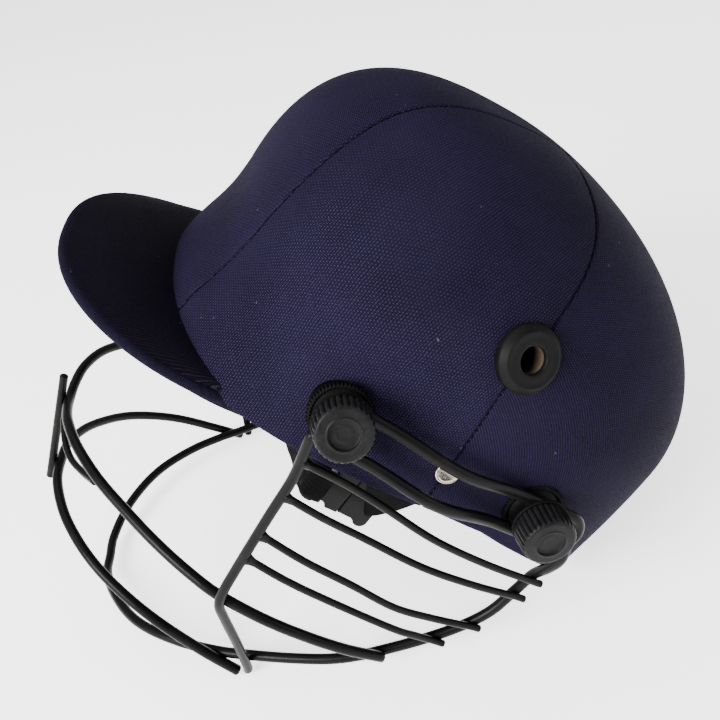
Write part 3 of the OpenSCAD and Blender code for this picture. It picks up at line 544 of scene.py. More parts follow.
def hard_foam():
    k = Look("impact_foam", (0.02, 0.02, 0.022), 0.85, IOR=1.15)
    d = k.cells(420)
    # Painted shade: the colour darkens towards the cell borders, where the bump sinks into grooves between
    # the beads.
    k.color(k.ramp(d, [(0.1, (0.016, 0.016, 0.018)), (0.7, (0.006, 0.006, 0.007))]))
    k.bump(k.math("MULTIPLY", d, -1), 0.00025)
    return k.m


def pad_cloth():
    k = Look("pad_cloth", (0.02, 0.02, 0.024), 0.9, Sheen_Weight=0.04, Sheen_Roughness=0.5, IOR=1.15)
    d = k.cells(520)
    big = k.noise(40, 4)
    # Painted shade: the colour darkens towards the middle of each cell, where the bump sinks into a pit.
    base = k.ramp(d, [(0.1, (0.009, 0.009, 0.011)), (0.6, (0.034, 0.034, 0.039))])
    k.color(k.mix(k.fit(big, 0.35, 0.7, 0, 0.5), base, (0.025, 0.025, 0.028)))
    k.bump(d, 0.0003)
    return k.m


thread_mat = thread()
steel_mat = coated_steel()
knob_mat = plastic("knob_plastic", (0.0042, 0.0042, 0.0048), 0.4, dust=0.5, depth=0.00005)
fitting_mat = plastic("moulded_plastic", (0.0025, 0.0023, 0.0024), 0.5, 0.00006, 0.3, (0.018, 0.017, 0.016))
bore_mat = plastic("dusty_bore", (0.05, 0.036, 0.024), 0.8, dust=0.5, dust_color=(0.1, 0.08, 0.06))
buckle_mat = plastic("buckle_plastic", (0.0032, 0.003, 0.003), 0.28, dust=0.1, ior=1.16)
rubber_mat = rubber()
rivet_mat = polished()
zinc_mat = zinc()
web_mat = webbing()
foam_mat = hard_foam()
pad_mat = pad_cloth()
shell_mat = plastic("shell_plastic", (0.012, 0.012, 0.016), 0.4)


def piece(o, body, slot, *nodes):
    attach(o, body)
    if nodes:
        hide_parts(*nodes)
    return o


# Places of the eyelets, rivets and clamps
EYELET_P = skin(-8.8, 29.2)
EYELET_N = slope(EYELET_P)
EYELET_LEAN = unit(EYELET_N + np.array([0, 0.12, 0]))
RIVET_P = skin(-10.4, 2.8)
RIVET_N = slope(RIVET_P)
BAR_R, ROD_R, CENTRE_R, WIRE_R = 2.4, 2.1, 2.0, 1.6
SLOT_PITCH = math.radians(5.9)
SLOT_START = np.array([112, -76.9, 12.1])
SLOT_WAY = np.array([0, math.cos(SLOT_PITCH), -math.sin(SLOT_PITCH)])
SLOT_UP = np.array([0, math.sin(SLOT_PITCH), math.cos(SLOT_PITCH)])
OUT = np.array([1.0, 0, 0])
CLAMP_SPAN = 91.4
FRONT_SPLAY, REAR_SPLAY = math.radians(-10), math.radians(5)
FRONT_TILT, REAR_TILT = 14, 3


def bow(s):
    """How far out the loop's middle lies, s millimetres behind the front clamp."""
    t = s / CLAMP_SPAN
    a, b = -math.tan(FRONT_SPLAY) * CLAMP_SPAN, -math.tan(REAR_SPLAY) * CLAMP_SPAN
    if t < 0:
        return a * t
    if t > 1:
        return 0.4 + b * (t - 1)
    return t * (1 - t) * (a * (1 - t) - b * t) + 0.4 * t * t * (3 - 2 * t)


class Clamp:
    def __init__(self, s, tilt, splay, under, over):
        tilt = math.radians(tilt)
        self.q = SLOT_START + SLOT_WAY * s + OUT * bow(s)
        level = OUT * math.cos(tilt) + SLOT_UP * math.sin(tilt)
        self.n = level * math.cos(splay) + SLOT_WAY * math.sin(splay)
        self.seat_top = -BAR_R - under
        self.washer = BAR_R + over
        self.knob = self.washer + 1.7


CLAMPS = {
    "front": Clamp(0, FRONT_TILT, FRONT_SPLAY, 0.45, 1.0),
    "rear": Clamp(CLAMP_SPAN, REAR_TILT, REAR_SPLAY, 0.55, 0.35),
}
SIDES = {"left": lambda p: np.asarray(p, float), "right": flip}


def from_eyelet(p, f):
    """Distance from the axis of the eyelet on side f, and height along it."""
    d, n = p - f(EYELET_P), f(EYELET_N)
    h = d @ n
    return np.linalg.norm(d - h[..., None] * n, axis=-1), h


# Cloth panels on the shell
APEX, PANEL_TOP, HEM_TOP = 90, 89.6, 0.6
EYELET_HOLE, GLOBE = 9.5, 112
SEAM_DEPTH, SEAM_WIDTH = 0.8, 1.1
FLOOR_GAP, CLOTH_T, PEAK_CLOTH_T = 0.0003, 0.0006, 0.0007
# The turned hem from its inner edge outwards: degrees above the hem line, millimetres under the surface
HEM = [(2.3, 4.46), (1.2, 4.46), (0.35, 4.3), (-0.12, 3.7), (-0.35, 2.7), (-0.38, 1.7), (-0.2, 0.8),
       (0.15, 0.25), (HEM_TOP, 0.03)]


def thick(o, thickness, offset=-1):
    m = o.modifiers.new("thick", "SOLIDIFY")
    m.thickness = thickness
    m.offset = offset
    return o


def flat_map(p, az, el):
    """Cloth coordinates in millimetres: the panel spread out flat round its middle."""
    c = aim(az, el)
    d = unit(p - EYE)
    x = unit(np.cross([0, 0, 1.0], c))
    y = np.cross(c, x)
    ang = np.arccos(np.clip(d @ c, -1, 1))
    return unit(np.stack([d @ x, d @ y], -1)) * ang[..., None] * GLOBE


def panel(name, from_az, to_az, across, up, middle):
    """A cloth panel between two seams, from its turned hem to the crown, with a valley at each seam."""
    seam_steps = np.array([0, 0.25, 0.6, 1.1, 1.8, 2.8])
    rows = [(True, lift, off) for lift, off in HEM]
    rows += [(False, (HEM_TOP + (APEX - 0.8) * (k / up)) / APEX, 0.0) for k in range(1, up)]
    pts = []
    for in_hem, a, off in rows:

        def height(az):
            base = hem_el(az)
            return base + (a if in_hem else HEM_TOP + (PANEL_TOP - base - HEM_TOP) * a)

        ends = np.array([from_az(-8.0), to_az(-8.0)])
        for _ in range(3):
            end_el = height(ends)
            ends = np.array([from_az(end_el[0]), to_az(end_el[1])])
        width = abs(ends[1] - ends[0]) * math.cos(math.radians(end_el.mean())) * GLOBE * math.pi / 180
        cut = np.minimum(seam_steps, width * 0.5 * np.linspace(0, 0.6, len(seam_steps)))
        inner = np.linspace(cut[-1], width - cut[-1], across)
        s = np.concatenate([cut[:-1], inner, width - cut[:-1][::-1]])
        valley = SEAM_DEPTH * (1 - smooth(np.minimum(s, width - s) / SEAM_WIDTH))
        az = ends[0] + (ends[1] - ends[0]) * (s / width)
        el = height(az)
        out = brow(az, el) * (max(0, 1 - off / 1.5) if in_hem else 1)
        pts.append(skin(az, el, off - out + valley * (1 if off < 2 else 0)))
    pts = np.array(pts)
    flat = pts.reshape(-1, 3)
    faces = np.array(grid_faces(*pts.shape[:2]))
    centre = flat[faces].mean(1)
    keep = np.ones(len(faces), bool)
    for f in SIDES.values():
        away, high = from_eyelet(centre, f)
        keep &= ~((away < EYELET_HOLE) & (np.abs(high) < 20))
    o = add_mesh(name, flat, faces[keep], cloth_mat, flat_map(flat, *middle))
    co = corners(o.data)
    co[:, 2] = np.maximum(co[:, 2], FLOOR_GAP)
    o.data.vertices.foreach_set("co", co.ravel())
    return thick(o, CLOTH_T)


# Both seams, steps across and up, the middle, and the flat cloth's size and area in metres
PANELS = {
    "cover_front": (lambda e: -180 - front_seam(e), front_seam, 60, 90, (-90, 35), (0.084, 0.19), 0.0153),
    "cover_left": (front_seam, rear_seam, 90, 110, (-40, 35), (0.13, 0.189), 0.0206),
    "cover_rear": (rear_seam, lambda e: 180 - rear_seam(e), 190, 110, (90, 25), (0.401, 0.224), 0.0593),
    "cover_right": (lambda e: 180 - rear_seam(e), lambda e: 180 - front_seam(e), 90, 110, (220, 35),
                    (0.13, 0.189), 0.0206),
}
for name, (*spec, flat, area) in PANELS.items():
    o = piece(panel(name + "_cloth", *spec), "helmet", "cloth", name)


STITCH_PITCH, STITCH_LONG, STITCH_SIDES = 2.7, 2.1, 6


def stitch_line(name, az_of, f):
    """Short thread dashes down a seam on side f, each a little askew."""
    el = np.linspace(-12, 88, 950)
    az = np.array([az_of(e) for e in el])
    ok = el > hem_el(az[0]) + 0.3
    p = f(skin(az[ok], el[ok], 0.5 - brow(az[ok], el[ok])))
    length, n, t = run(p), slope(p), along(p)
    pts, faces = [], []
    lift = np.array([-0.28, 0.1, 0.17, 0.1, -0.28])
    for k in range(int(length[-1] / STITCH_PITCH)):
        at = np.linspace(k * STITCH_PITCH, k * STITCH_PITCH + STITCH_LONG, 5)
        c, nn, tt = (np.stack([np.interp(at, length, v[:, i]) for i in range(3)], -1) for v in (p, n, t))
        nn = unit(nn)
        side = np.cross(nn, unit(tt))
        sway = (0.3 if k % 2 else -0.3) * np.array([-1, -0.5, 0, 0.5, 1]) + 0.12 * math.sin(k * 2.4)
        base = len(pts)
        for j in range(5):
            r = 0.26 if 0 < j < 4 else 0.14
            for a in range(STITCH_SIDES):
                w = a * 2 * math.pi / STITCH_SIDES
                pts.append(c[j] + nn[j] * (lift[j] + r * math.sin(w)) + side[j] * (r * math.cos(w) + sway[j]))
        faces += grid_faces(5, STITCH_SIDES, wrap=True, base=base) + end_faces(5, STITCH_SIDES, base)
    pts = np.array(pts)
    keep = [q for q in faces if np.linalg.norm(pts[list(q)].mean(0) - f(EYELET_P)) > 13.5]
    return outward(add_mesh(name, pts, keep, thread_mat))


for side, f in SIDES.items():
    for which, az_of in (("front", front_seam), ("rear", rear_seam)):
        piece(stitch_line(f"{side}_{which}_stitches", az_of, f), "helmet", "cloth")

# Peak
PEAK_Y, PEAK_Q, PEAK_W, PEAK_REACH = -95.7, 2.4, 166, 91
PEAK_CROWN, TRIM, DROP = 2.4, 1.5, 3
RIM_Z, ROOT_Z = -14, -10


def quad(c):
    return np.sign(c) * np.abs(c) ** (2 / PEAK_Q)


def peak_edge(s, inset):
    """The peak's outline at angle s, from the left corner round to the right, moved in by inset."""
    c, d = np.cos(np.radians(s)), np.sin(np.radians(s))
    z = RIM_Z - DROP * np.abs(c) ** 3
    return np.stack([(PEAK_W / 2 - inset) * quad(c), PEAK_Y - (PEAK_REACH - inset) * quad(d), z], -1)


def peak_root(s, dz):
    """Where the sheet dz above the board's middle meets the shell."""
    az = -45 - 90 * s / 180
    z = ROOT_Z + dz - DROP * np.abs(np.cos(np.radians(s))) ** 3
    start = np.stack([0 * z, 0 * z + SEAM_Y, z], -1)
    way = aim(az, 0 * az)
    return start + way * reach(start, way, np.full(len(az), 0.5))[..., None]


S_STEPS = np.linspace(TRIM, 180 - TRIM, 121)
PEAK_ROWS, ROLL = 40, 2.3


def peak_sheet(name, sign):
    """The cloth over the peak with sign 1, or under it with sign -1, in rows from the root to the outline."""
    dz = sign * ROLL + 0.6 * sign * (1 - smooth((90 - np.abs(S_STEPS - 90)) / 22))
    root, edge = peak_root(S_STEPS, dz), peak_edge(S_STEPS, 2.0)
    edge[:, 2] += dz
    rows = []
    for t in np.linspace(0, 1, PEAK_ROWS):
        p = root + (edge - root) * t
        p[:, 2] += PEAK_CROWN * np.sin(np.pi * t) * np.sin(np.radians(S_STEPS))
        rows.append(p)
    flat = np.array(rows).reshape(-1, 3)
    o = add_mesh(name, flat, grid_faces(PEAK_ROWS, len(S_STEPS)), peak_mat, flat[:, :2])
    return thick(o, PEAK_CLOTH_T, -sign)


def peak_rim():
    """The turned edge: the cloth rolls round the board and back under it."""
    ang = np.radians(np.linspace(90, -90, 17))
    lap = [(4.4, ROLL - 0.35), (3.6, ROLL + 0.1), (2.9, ROLL + 0.12)]
    turn = [(2.2 - 2.35 * math.cos(a), (ROLL + 0.1) * math.sin(a)) for a in ang]
    rows = lap + turn + [(inset, -h) for inset, h in lap[::-1]]
    pts = np.array([peak_edge(S_STEPS, inset) + [0, 0, h] for inset, h in rows])
    uv = uv_grid(run(peak_edge(S_STEPS, 0)), np.linspace(0, 14, len(rows)))
    faces = grid_faces(len(rows), len(S_STEPS))
    return thick(add_mesh("peak_rolled_edge", pts.reshape(-1, 3), faces, edge_mat, uv), CLOTH_T)


o = piece(peak_sheet("peak_top_sheet", 1), "helmet", "cloth", "peak_top_cloth", "peak_board")
o = piece(peak_sheet("peak_under_sheet", -1), "helmet", "cloth", "peak_under_cloth")
o = piece(peak_rim(), "helmet", "cloth", "peak_binding")

# Face guard
ROD_AT, LOOP_R, LOOP_TAIL = -5.9, 7.7, 22
FRONT_CENTRE, LOOP_CENTRE = ROD_AT + LOOP_R, CLAMP_SPAN + LOOP_TAIL - LOOP_R
SLOT_DROP, SWING, SWING_FROM, SWING_TO = 1.5, 5, 16, CLAMP_SPAN - 11.3


def slot_point(s, side):
    """In the loop's bowed sheet: s millimetres behind the front clamp, side millimetres above its middle."""
    t = smooth((s - 26) / (CLAMP_SPAN - 13.5 - 26))
    lean = np.radians(FRONT_TILT + (REAR_TILT - FRONT_TILT) * t)
    d = side - SLOT_DROP
    swing = SWING * math.sin(math.pi * np.clip((s - SWING_FROM) / (SWING_TO - SWING_FROM), 0, 1)) ** 2
    out = bow(s) + swing - d * math.sin(lean)
    return SLOT_START + SLOT_WAY * s + OUT * out + SLOT_UP * d * math.cos(lean)


def loop_end(r, a):
    """Round the rear end of the loop at radius r, turned by a from straight up."""
    return slot_point(LOOP_CENTRE + r * math.sin(a), r * math.cos(a))


def loop_front(a0, a1):
    """Round the front end of the loop, turned from straight ahead."""
    turns = np.linspace(a0, a1, 7)
    return [slot_point(FRONT_CENTRE - LOOP_R * math.cos(a), LOOP_R * math.sin(a)) for a in turns]


LOOP_RUN = [4, 8, 13, 19, 26, 33, 40, 47, 54, 61, 68, 76, 84, 92, LOOP_CENTRE - 4]
LOOP_PATH = (
    loop_front(-0.15, np.pi / 2)
    + [slot_point(s, LOOP_R) for s in LOOP_RUN]
    + [loop_end(LOOP_R, a) for a in np.linspace(0, np.pi, 13)]
    + [slot_point(s, -LOOP_R) for s in LOOP_RUN[::-1]]
    + loop_front(-np.pi / 2, -0.1)
)
UPPER = [[0, -155.4, -97], [12, -155.2, -95.5], [25, -153.2, -93], [41, -146.8, -91.5], [57, -135.3, -91.5],
         [72, -120.5, -91.5], [85, -106, -91.5], [95.6, -91.5, -91.5], [102.8, -78, -91.8], [108, -58, -92.5],
         [109.4, -38, -94], [108.3, -18, -96], [104.6, 2, -98.2]]
LOWER = [[0, -147, -134.5], [15, -146, -135], [33, -139.5, -136], [48, -129.5, -137.2],
         [60.4, -117.5, -138.2], [71, -102, -139.5], [79.2, -85, -141], [85.8, -64, -143.2],
         [90.3, -45.8, -144.7]]
EDGE = [[0, -103, -185], [14, -103, -184], [32, -100, -177.5], [49.8, -93, -170.5], [62.4, -84.5, -163.5],
        [73.6, -72, -154.5], [81.4, -59, -146], [86.2, -48, -138.8], [94.8, -27, -123], [99.4, -10, -110],
        [100.2, 8, -94], [100.2, 25, -76], [100.2, 35, -60], [100.2, 38.5, -44], [101.5, 39.5, -32],
        [106.8, 39.2, -22], [110.2, 38.2, -13.6], loop_end(LOOP_R + 1, math.radians(120))]
ROD_LOW = [[111.6, -80.8, -18], [109.8, -80.3, -40], [108.6, -79.8, -70], [108.5, -79.4, -84],
           [107.9, -77.6, -92], [105, -71.5, -101], [98.6, -58, -119], [91.9, -44, -138.4],
           [90.5, -41.8, -142.2]]
ROD = [slot_point(ROD_AT, side) for side in (0.5, -LOOP_R / 2, -LOOP_R, SLOT_DROP - 12)] + ROD_LOW
WIRES = [
    [[112.6, -80.7, -9.8], [112.6, -62, -12.5], [111.9, -44, -17], [110.4, -16, -25], [107.8, 12, -30],
     [105.5, 38, -32.4], [105.4, 42.6, -32.4]],
    [[110.9, -78.9, -28], [112, -62, -31], [111.2, -43, -34.4], [110, -12.6, -40], [106.8, 15, -43],
     [103.95, 37, -44], [103.8, 42.2, -44]],
    [[109.5, -78.4, -50], [111, -58, -54.5], [110.2, -35, -59.4], [109, -11, -65.2], [106, 10, -67.3],
     [104, 29, -67.2], [103.9, 33.7, -67]],
    [[108.9, -78, -63.6], [110.6, -60, -67], [110, -40, -71], [108, -5, -77.4], [105.5, 9, -79.8],
     [104, 19, -81], [103.9, 23.7, -81.2]]]
BRACE = [[-3, -155.2, -100.8], [12, -154.8, -100.6], [25, -151.5, -102.6], [34, -146.6, -104.2],
         [45, -140.4, -100.6], [55, -135.9, -95.2]]


def weld(name, at, way, k):
    """Uneven fillet round a thin wire where it leaves the upright."""
    prof = [(0.02, -1.2), (2.0, -1.0), (2.4, -0.3), (2.25, 0.4), (2.0, 1.1), (1.82, 1.8), (1.7, 2.6),
            (1.5, 3.4)]

    def uneven(ang, r, h):
        return r * (1 + 0.06 * np.sin(3 * ang + k) + 0.04 * np.sin(7 * ang + 2 * k + h))

    return lathe(name, prof, at, way, steel_mat, 28, uneven, close=False)


def steel(name, path, r, node, steps=8):
    piece(tube(name, curve(path, steps), r, steel_mat, 20), "guard", "guard_steel", node)


steel("upper_bar_tube", both_sides(UPPER), BAR_R, "upper_bar")
steel("lower_bar_tube", both_sides(LOWER), BAR_R, "lower_bar")
steel("edge_bar_tube", both_sides(EDGE), BAR_R, "edge_bar")
for side, f in SIDES.items():
    steel(f"{side}_loop_tube", f(LOOP_PATH), BAR_R, f"{side}_slot_loop", 4)
    steel(f"{side}_rod_tube", f(ROD), ROD_R, f"{side}_front_rod")
    wires = [curve(f(w), 6) for w in WIRES]
    for k, w in enumerate(wires):
        o = tube(f"{side}_wire_{k}", w, WIRE_R, steel_mat, 14)
        piece(o, "guard", "guard_steel", *([f"{side}_side_wires"] if k == 0 else []))
    for k, w in enumerate(wires):
        piece(weld(f"{side}_weld_{k}", w[0], w[3] - w[0], k), "guard", "guard_steel")
LAP = BAR_R + CENTRE_R - 0.25
UP_MID = np.array([0, UPPER[0][1] - LAP, UPPER[0][2]])
LOW_MID = np.array([0, LOWER[0][1] - LAP, LOWER[0][2]])
WAY = unit(LOW_MID - UP_MID)
steel("centre_rod_tube", [UP_MID - WAY * 11, UP_MID, LOW_MID, LOW_MID + WAY * 11], CENTRE_R, "centre_rod")
steel("centre_brace_tube", BRACE, WIRE_R, "centre_brace")


# Clamps
def knob(name, c, f):
    """Ridged sides, a rounded edge, and a round recess with a raised lip in the face."""
    ridges, deepest, under_face = 30, 1.15, 10.5

    def radius(ang, r, h):
        if r < 9.0:
            return np.full(len(ang), r)
        wave = np.abs(np.cos(ang * ridges / 2)) ** 0.5
        deep = deepest * np.clip((under_face - h) / 1.2, 0, 1) * np.clip((h + 0.4) / 1.2, 0, 1)
        return r - deep * (1 - wave)

    prof = [(2.6, 0.15), (9.6, 0.0), (10.6, 0.12), (11.0, 0.5), (11.2, 1.2), (11.15, 3), (11.05, 5),
            (10.95, 7), (10.85, 8.6), (10.75, 9.5), (10.5, 10.05), (10.15, 10.5), (9.75, 10.85),
            (9.3, 11.02), (8.8, 11.06), (6.9, 11.04), (6.5, 11.1), (6.25, 11.3), (6.0, 11.36),
            (5.75, 11.28), (5.62, 11.0), (5.56, 10.5), (5.45, 10.2), (5.1, 10.08), (3.4, 10.05),
            (3.1, 10.12), (2.7, 10.14), (2.3, 10.08), (1.2, 10.05), (0.02, 10.05)]
    return lathe(name, prof, f(c.q + c.n * c.knob), f(c.n), knob_mat, 360, radius, close=False)


def seat(name, c, f):
    """Knurled rubber ring on top, and a round foot that follows the dome."""
    seg = 540
    ang = np.arange(seg) * 2 * np.pi / seg
    x, y, z = basis(c.n)
    dirs = np.cos(ang)[:, None] * x + np.sin(ang)[:, None] * y
    tooth = np.clip(0.5 + 1.3 * np.cos(ang * 54), 0, 1)
    rows = []

    # Radius, height under the top, and depth of the teeth
    steps = [(2.7, 3, 0), (2.7, 0, 0), (9.9, 0, 0), (10.1, 0.9, 0), (10.9, 0.9, 0.2), (11.1, 0.3, 0.35),
             (11.6, 0.3, 0.35), (12.3, 0.75, 0.6), (12.5, 1.2, 0.7), (12.5, 3.6, 0.7), (12.2, 4.1, 0.5),
             (11.4, 4.5, 0), (11.2, 4.8, 0)]
    for r, under, teeth in steps:
        rows.append(c.q + dirs * (r - teeth * (1 - tooth))[:, None] + z * (c.seat_top - under))
    foot = c.q + dirs * 11.2 + z * (c.seat_top - 5)
    up = np.broadcast_to(z, foot.shape)
    drop = np.maximum(40 - reach(foot - z * 40, up, np.full(seg, 0.25), 0.0, 60.0), 0)[:, None]
    rows.append(foot - z * drop)
    rows.append(foot - dirs * 2 - z * (drop + 0.8))
    pts = f(np.array(rows).reshape(-1, 3))
    return outward(add_mesh(name, pts, grid_faces(len(rows), seg, wrap=True), rubber_mat))


def paint(node, material):
    """A solid that stays shown takes a better material."""
    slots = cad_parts[node].data.materials
    slots.clear()
    slots.append(material)


EYELET_SEG = 128
EYELET_PROFILE = [
    (5.3, -8.3), (5.3, 1.2), (5.3, 2.5), (5.42, 2.95), (5.75, 3.25), (6.2, 3.35), (7.4, 3.3), (9.4, 3.2),
    (10.0, 3.35), (10.4, 3.4), (10.8, 3.3), (11.1, 3.05), (12.7, 1.35), (13.05, 0.9), (13.2, 0.3),
    (13.15, -3.4), (7.4, -3.4), (7.3, -8.3)]
RIVET_PROFILE = [
    (0.02, 1.02), (2.0, 1.0), (3.2, 0.92), (3.7, 1.05), (4.2, 1.2), (4.55, 1.1), (4.75, 0.8), (4.8, 0.3),
    (4.7, 0.08), (2, 0.05), (2, -7), (0.02, -7)]
for side, f in SIDES.items():
    for end, c in CLAMPS.items():
        key = f"{side}_{end}"
        piece(knob(key + "_knob_turned", c, f), key + "_knob_body", "knob", key + "_knob")
        piece(seat(key + "_seat_ring", c, f), "helmet", "rubber", key + "_seat")
        paint(key + "_bolt", zinc_mat)
        paint(key + "_washer", rubber_mat)
    o = lathe(f"{side}_eyelet_turned", EYELET_PROFILE, f(EYELET_P), f(EYELET_LEAN), fitting_mat, EYELET_SEG)
    o.data.materials.append(bore_mat)
    for q in o.data.polygons:
        q.material_index = int(q.index < EYELET_SEG)
    piece(o, "helmet", "fitting", f"{side}_eyelet")
    paint(f"{side}_eyelet_ring", fitting_mat)
    o = lathe(f"{side}_rivet_turned", RIVET_PROFILE, f(RIVET_P), f(RIVET_N), rivet_mat, 72, close=False)
    piece(o, "helmet", "rivet", f"{side}_rivet")

# Chin strap
STRAP_W, STRAP_T, RIB = 16, 1.6, 0.13
STRAP_OFF = INNER_OFF + 0.3 + STRAP_W ** 2 / 900 + 0.5 + STRAP_T / 2
BUCKLE_MID = np.array([94.5, -56, -26.3])
OVER_X = 94.5 + 3.75 + 0.6 + 0.8


def ribbon(name, path, sides):
    """Webbing with fine ribs and rounded edges, its width along sides."""
    t = along(path)
    s = unit(sides - t * (sides * t).sum(1)[:, None])
    u = np.cross(t, s)
    across = np.linspace(-1, 1, 33)
    rib = RIB * np.abs(np.sin(across * math.pi * 4.5)) * (np.abs(across) < 0.9)
    round_off = np.sqrt(np.clip(1 - np.clip((np.abs(across) - 0.93) / 0.07, 0, 1) ** 2, 0.02, 1))
    high = STRAP_T / 2 * round_off - RIB + rib
    wide = across * (STRAP_W / 2)
    outline = np.concatenate([np.stack([wide, high], -1), np.stack([wide, -high], -1)[::-1]])
    n = len(outline)
    pts = path[:, None] + s[:, None] * outline[None, :, :1] + u[:, None] * outline[None, :, 1:]
    faces = grid_faces(len(path), n, wrap=True) + end_faces(len(path), n)
    return outward(add_mesh(name, pts.reshape(-1, 3), faces, web_mat, uv_grid(outline[:, 0], run(path))))


def strap_top(el):
    return skin(-10.4, el, STRAP_OFF)


LEFT_ROUTE = [strap_top(7.5), strap_top(2.8), strap_top(-3) + np.array([0, -1, 0]), [102.8, -33, -11.5],
              [101, -36.2, -17.6], [OVER_X + 0.3, -39.3, -21.8], [OVER_X - 0.4, -42.2, -24.9],
              [OVER_X - 0.9, -44.5, -26]]
RIGHT_ROUTE = [[OVER_X, -61.5, -26.2], [OVER_X, -65.5, -25.4], [OVER_X - 0.2, -67.8, -24.9],
               [97.4, -70.8, -24.2], [92.4, -72.6, -23.6], [84, -73, -23], [70, -73, -25], [48, -68.5, -31],
               [20, -60, -38.5], [-12, -49, -43.5], [-44, -40, -42.5], [-72, -33, -35], [-92, -29.5, -24],
               [-101, -28.6, -14], flip(strap_top(-3)), flip(strap_top(2.8)), flip(strap_top(7.5))]
TWIST = [90, 90, 90, 90, 90, 85, 75, 62, 50, 40, 30, 20, 10, 0, 0, 0, 0]
path = curve(LEFT_ROUTE, 10)
t = along(path)
o = ribbon("left_strap_webbing", path, np.stack([0 * t[:, 0], -t[:, 2], t[:, 1]], -1))
piece(o, "helmet", "webbing", "left_strap")
path = curve(RIGHT_ROUTE, 10)
a = np.radians(curve([[v, 0, 0] for v in TWIST], 10)[:, 0])
o = ribbon("right_strap_webbing", path, np.stack([0 * a, np.cos(a), np.sin(a)], -1))
piece(o, "helmet", "webbing", "right_strap")

# Buckle, in its own frame: x to the rear, y up across it, z outwards
PITCH = math.radians(5)
BUCKLE_X = np.array([0, math.cos(PITCH), -math.sin(PITCH)])
BUCKLE_Y = np.array([0, math.sin(PITCH), math.cos(PITCH)])


def buckle_point(p):
    p = np.asarray(p, float)
    return BUCKLE_MID + p[..., :1] * BUCKLE_X + p[..., 1:2] * BUCKLE_Y + p[..., 2:3] * np.array([1.0, 0, 0])


def plate(name, loops, low, high, edge, material):
    """Flat moulding from outlines, the first its outside and the rest its holes, with rounded edges."""
    c = bpy.data.curves.new(name + "_outline", "CURVE")
    c.dimensions = "2D"
    c.fill_mode = "BOTH"
    c.extrude = (high - low) / 2 - edge
    c.bevel_depth = edge
    c.bevel_resolution = 4
    c.offset = -edge
    for loop in loops:
        s = c.splines.new("POLY")
        s.points.add(len(loop) - 1)
        s.use_cyclic_u = True
        for k, q in enumerate(loop):
            s.points[k].co = (q[0], q[1], 0, 1)
    tmp = new_object(name + "_tmp", c)
    bpy.context.view_layer.update()
    got = evaluated(tmp)
    pts = corners(got) + np.array([0, 0, (low + high) / 2])
    o = outward(add_mesh(name, buckle_point(pts), faces_of(got), material), merge=1e-6)
    bpy.data.objects.remove(tmp)
    bpy.data.meshes.remove(got)
    o.modifiers.new("edge", "EDGE_SPLIT").split_angle = math.radians(40)
    return o


def arc(cx, cy, r, a0, a1, n):
    turns = np.radians(np.linspace(a0, a1, n))
    return [(cx + r * math.cos(a), cy + r * math.sin(a)) for a in turns]


# Its thickness and half its width, then the front end, the split and the rear end along x
B_T, hw = 7.5, 10.5
XF, XS, XR = -15.5, 5, 19
socket_outline = (
    [(XS, -hw), (XS, hw)] + arc(XS - 9, hw + 1.2, 3.6, -20, -160, 9) + arc(XF + 7, hw - 7, 7, 90, 180, 12)
    + arc(XF + 7, -hw + 7, 7, 180, 270, 12) + arc(XS - 9, -hw - 1.2, 3.6, 160, 20, 9)
)
slot_hole = [(-8, -8.3), (-5, -8.3), (-5, 8.3), (-8, 8.3)]
o = plate("buckle_socket_moulded", [socket_outline, slot_hole], -B_T / 2, B_T / 2, 0.9, buckle_mat)
piece(o, "helmet", "fitting", "buckle_socket")
rr = 3.2
plug_outline = (
    [(XS + 0.3, -hw + 0.5), (XS + 0.3, hw - 0.5), (XR - 2 * rr - 1, hw - 0.2)]
    + arc(XR - rr, hw - 1, rr, 150, -10, 12) + [(XR, hw - 5), (XR, -hw + 5)]
    + arc(XR - rr, -hw + 1, rr, 10, -150, 12) + [(XR - 2 * rr - 1, -hw + 0.2)]
)
o = plate("buckle_plug_moulded", [plug_outline], -B_T / 2, B_T / 2, 0.9, buckle_mat)
piece(o, "helmet", "fitting", "buckle_plug")

# Foam inside
RECESS = 8.6


def dome_sheet(off, lift, cols=180, rows=60):
    az = np.arange(cols) * 360 / cols - 90
    base = rim_el(az) + lift
    return np.array([skin(az, base + (89.9 - base) * (j / rows), off) for j in range(rows)])


def liner():
    """Foam with a rounded lower lip, and a blind recess behind each eyelet."""
    a, b = dome_sheet(LINER_OFF, 2.6), dome_sheet(LINER_OFF + LINER_T, 3.2)
    for f in SIDES.values():
        away, high = from_eyelet(a, f)
        a = a - f(EYELET_N) * (RECESS * (1 - smooth((away - 9) / 2.5)) * (high > -20))[..., None]
    cols = a.shape[1]
    steps = (0.15, 0.4, 0.65, 0.88)
    lip = [a[0] * (1 - w) + b[0] * w + np.array([0, 0, -0.9 * math.sin(math.pi * w)]) for w in steps]
    stack = np.concatenate([a[::-1], np.array(lip), b])
    faces = grid_faces(len(stack), cols, wrap=True) + [e[::-1] for e in end_faces(len(stack), cols)]
    return outward(add_mesh("impact_liner_foam", stack.reshape(-1, 3), faces, foam_mat))


piece(liner(), "helmet", "liner", "impact_liner")


# Share of a pad's thickness at its edge, and the rest of it, which comes in towards the middle
EDGE_SHARE, RISE_SHARE = 0.55, 0.45
SWELL, SIDEWAYS, VOXEL = 1.8, 0.8, 0.004
PRESSURE, BLOW_FRAMES = 4, 20
CHANNEL_PRESS, CHANNEL_W = 0.55, 2.4


def fill(u, v):
    return EDGE_SHARE + RISE_SHARE * bend(np.abs(2 * u - 1), 3) * bend(np.abs(2 * v - 1), 3)


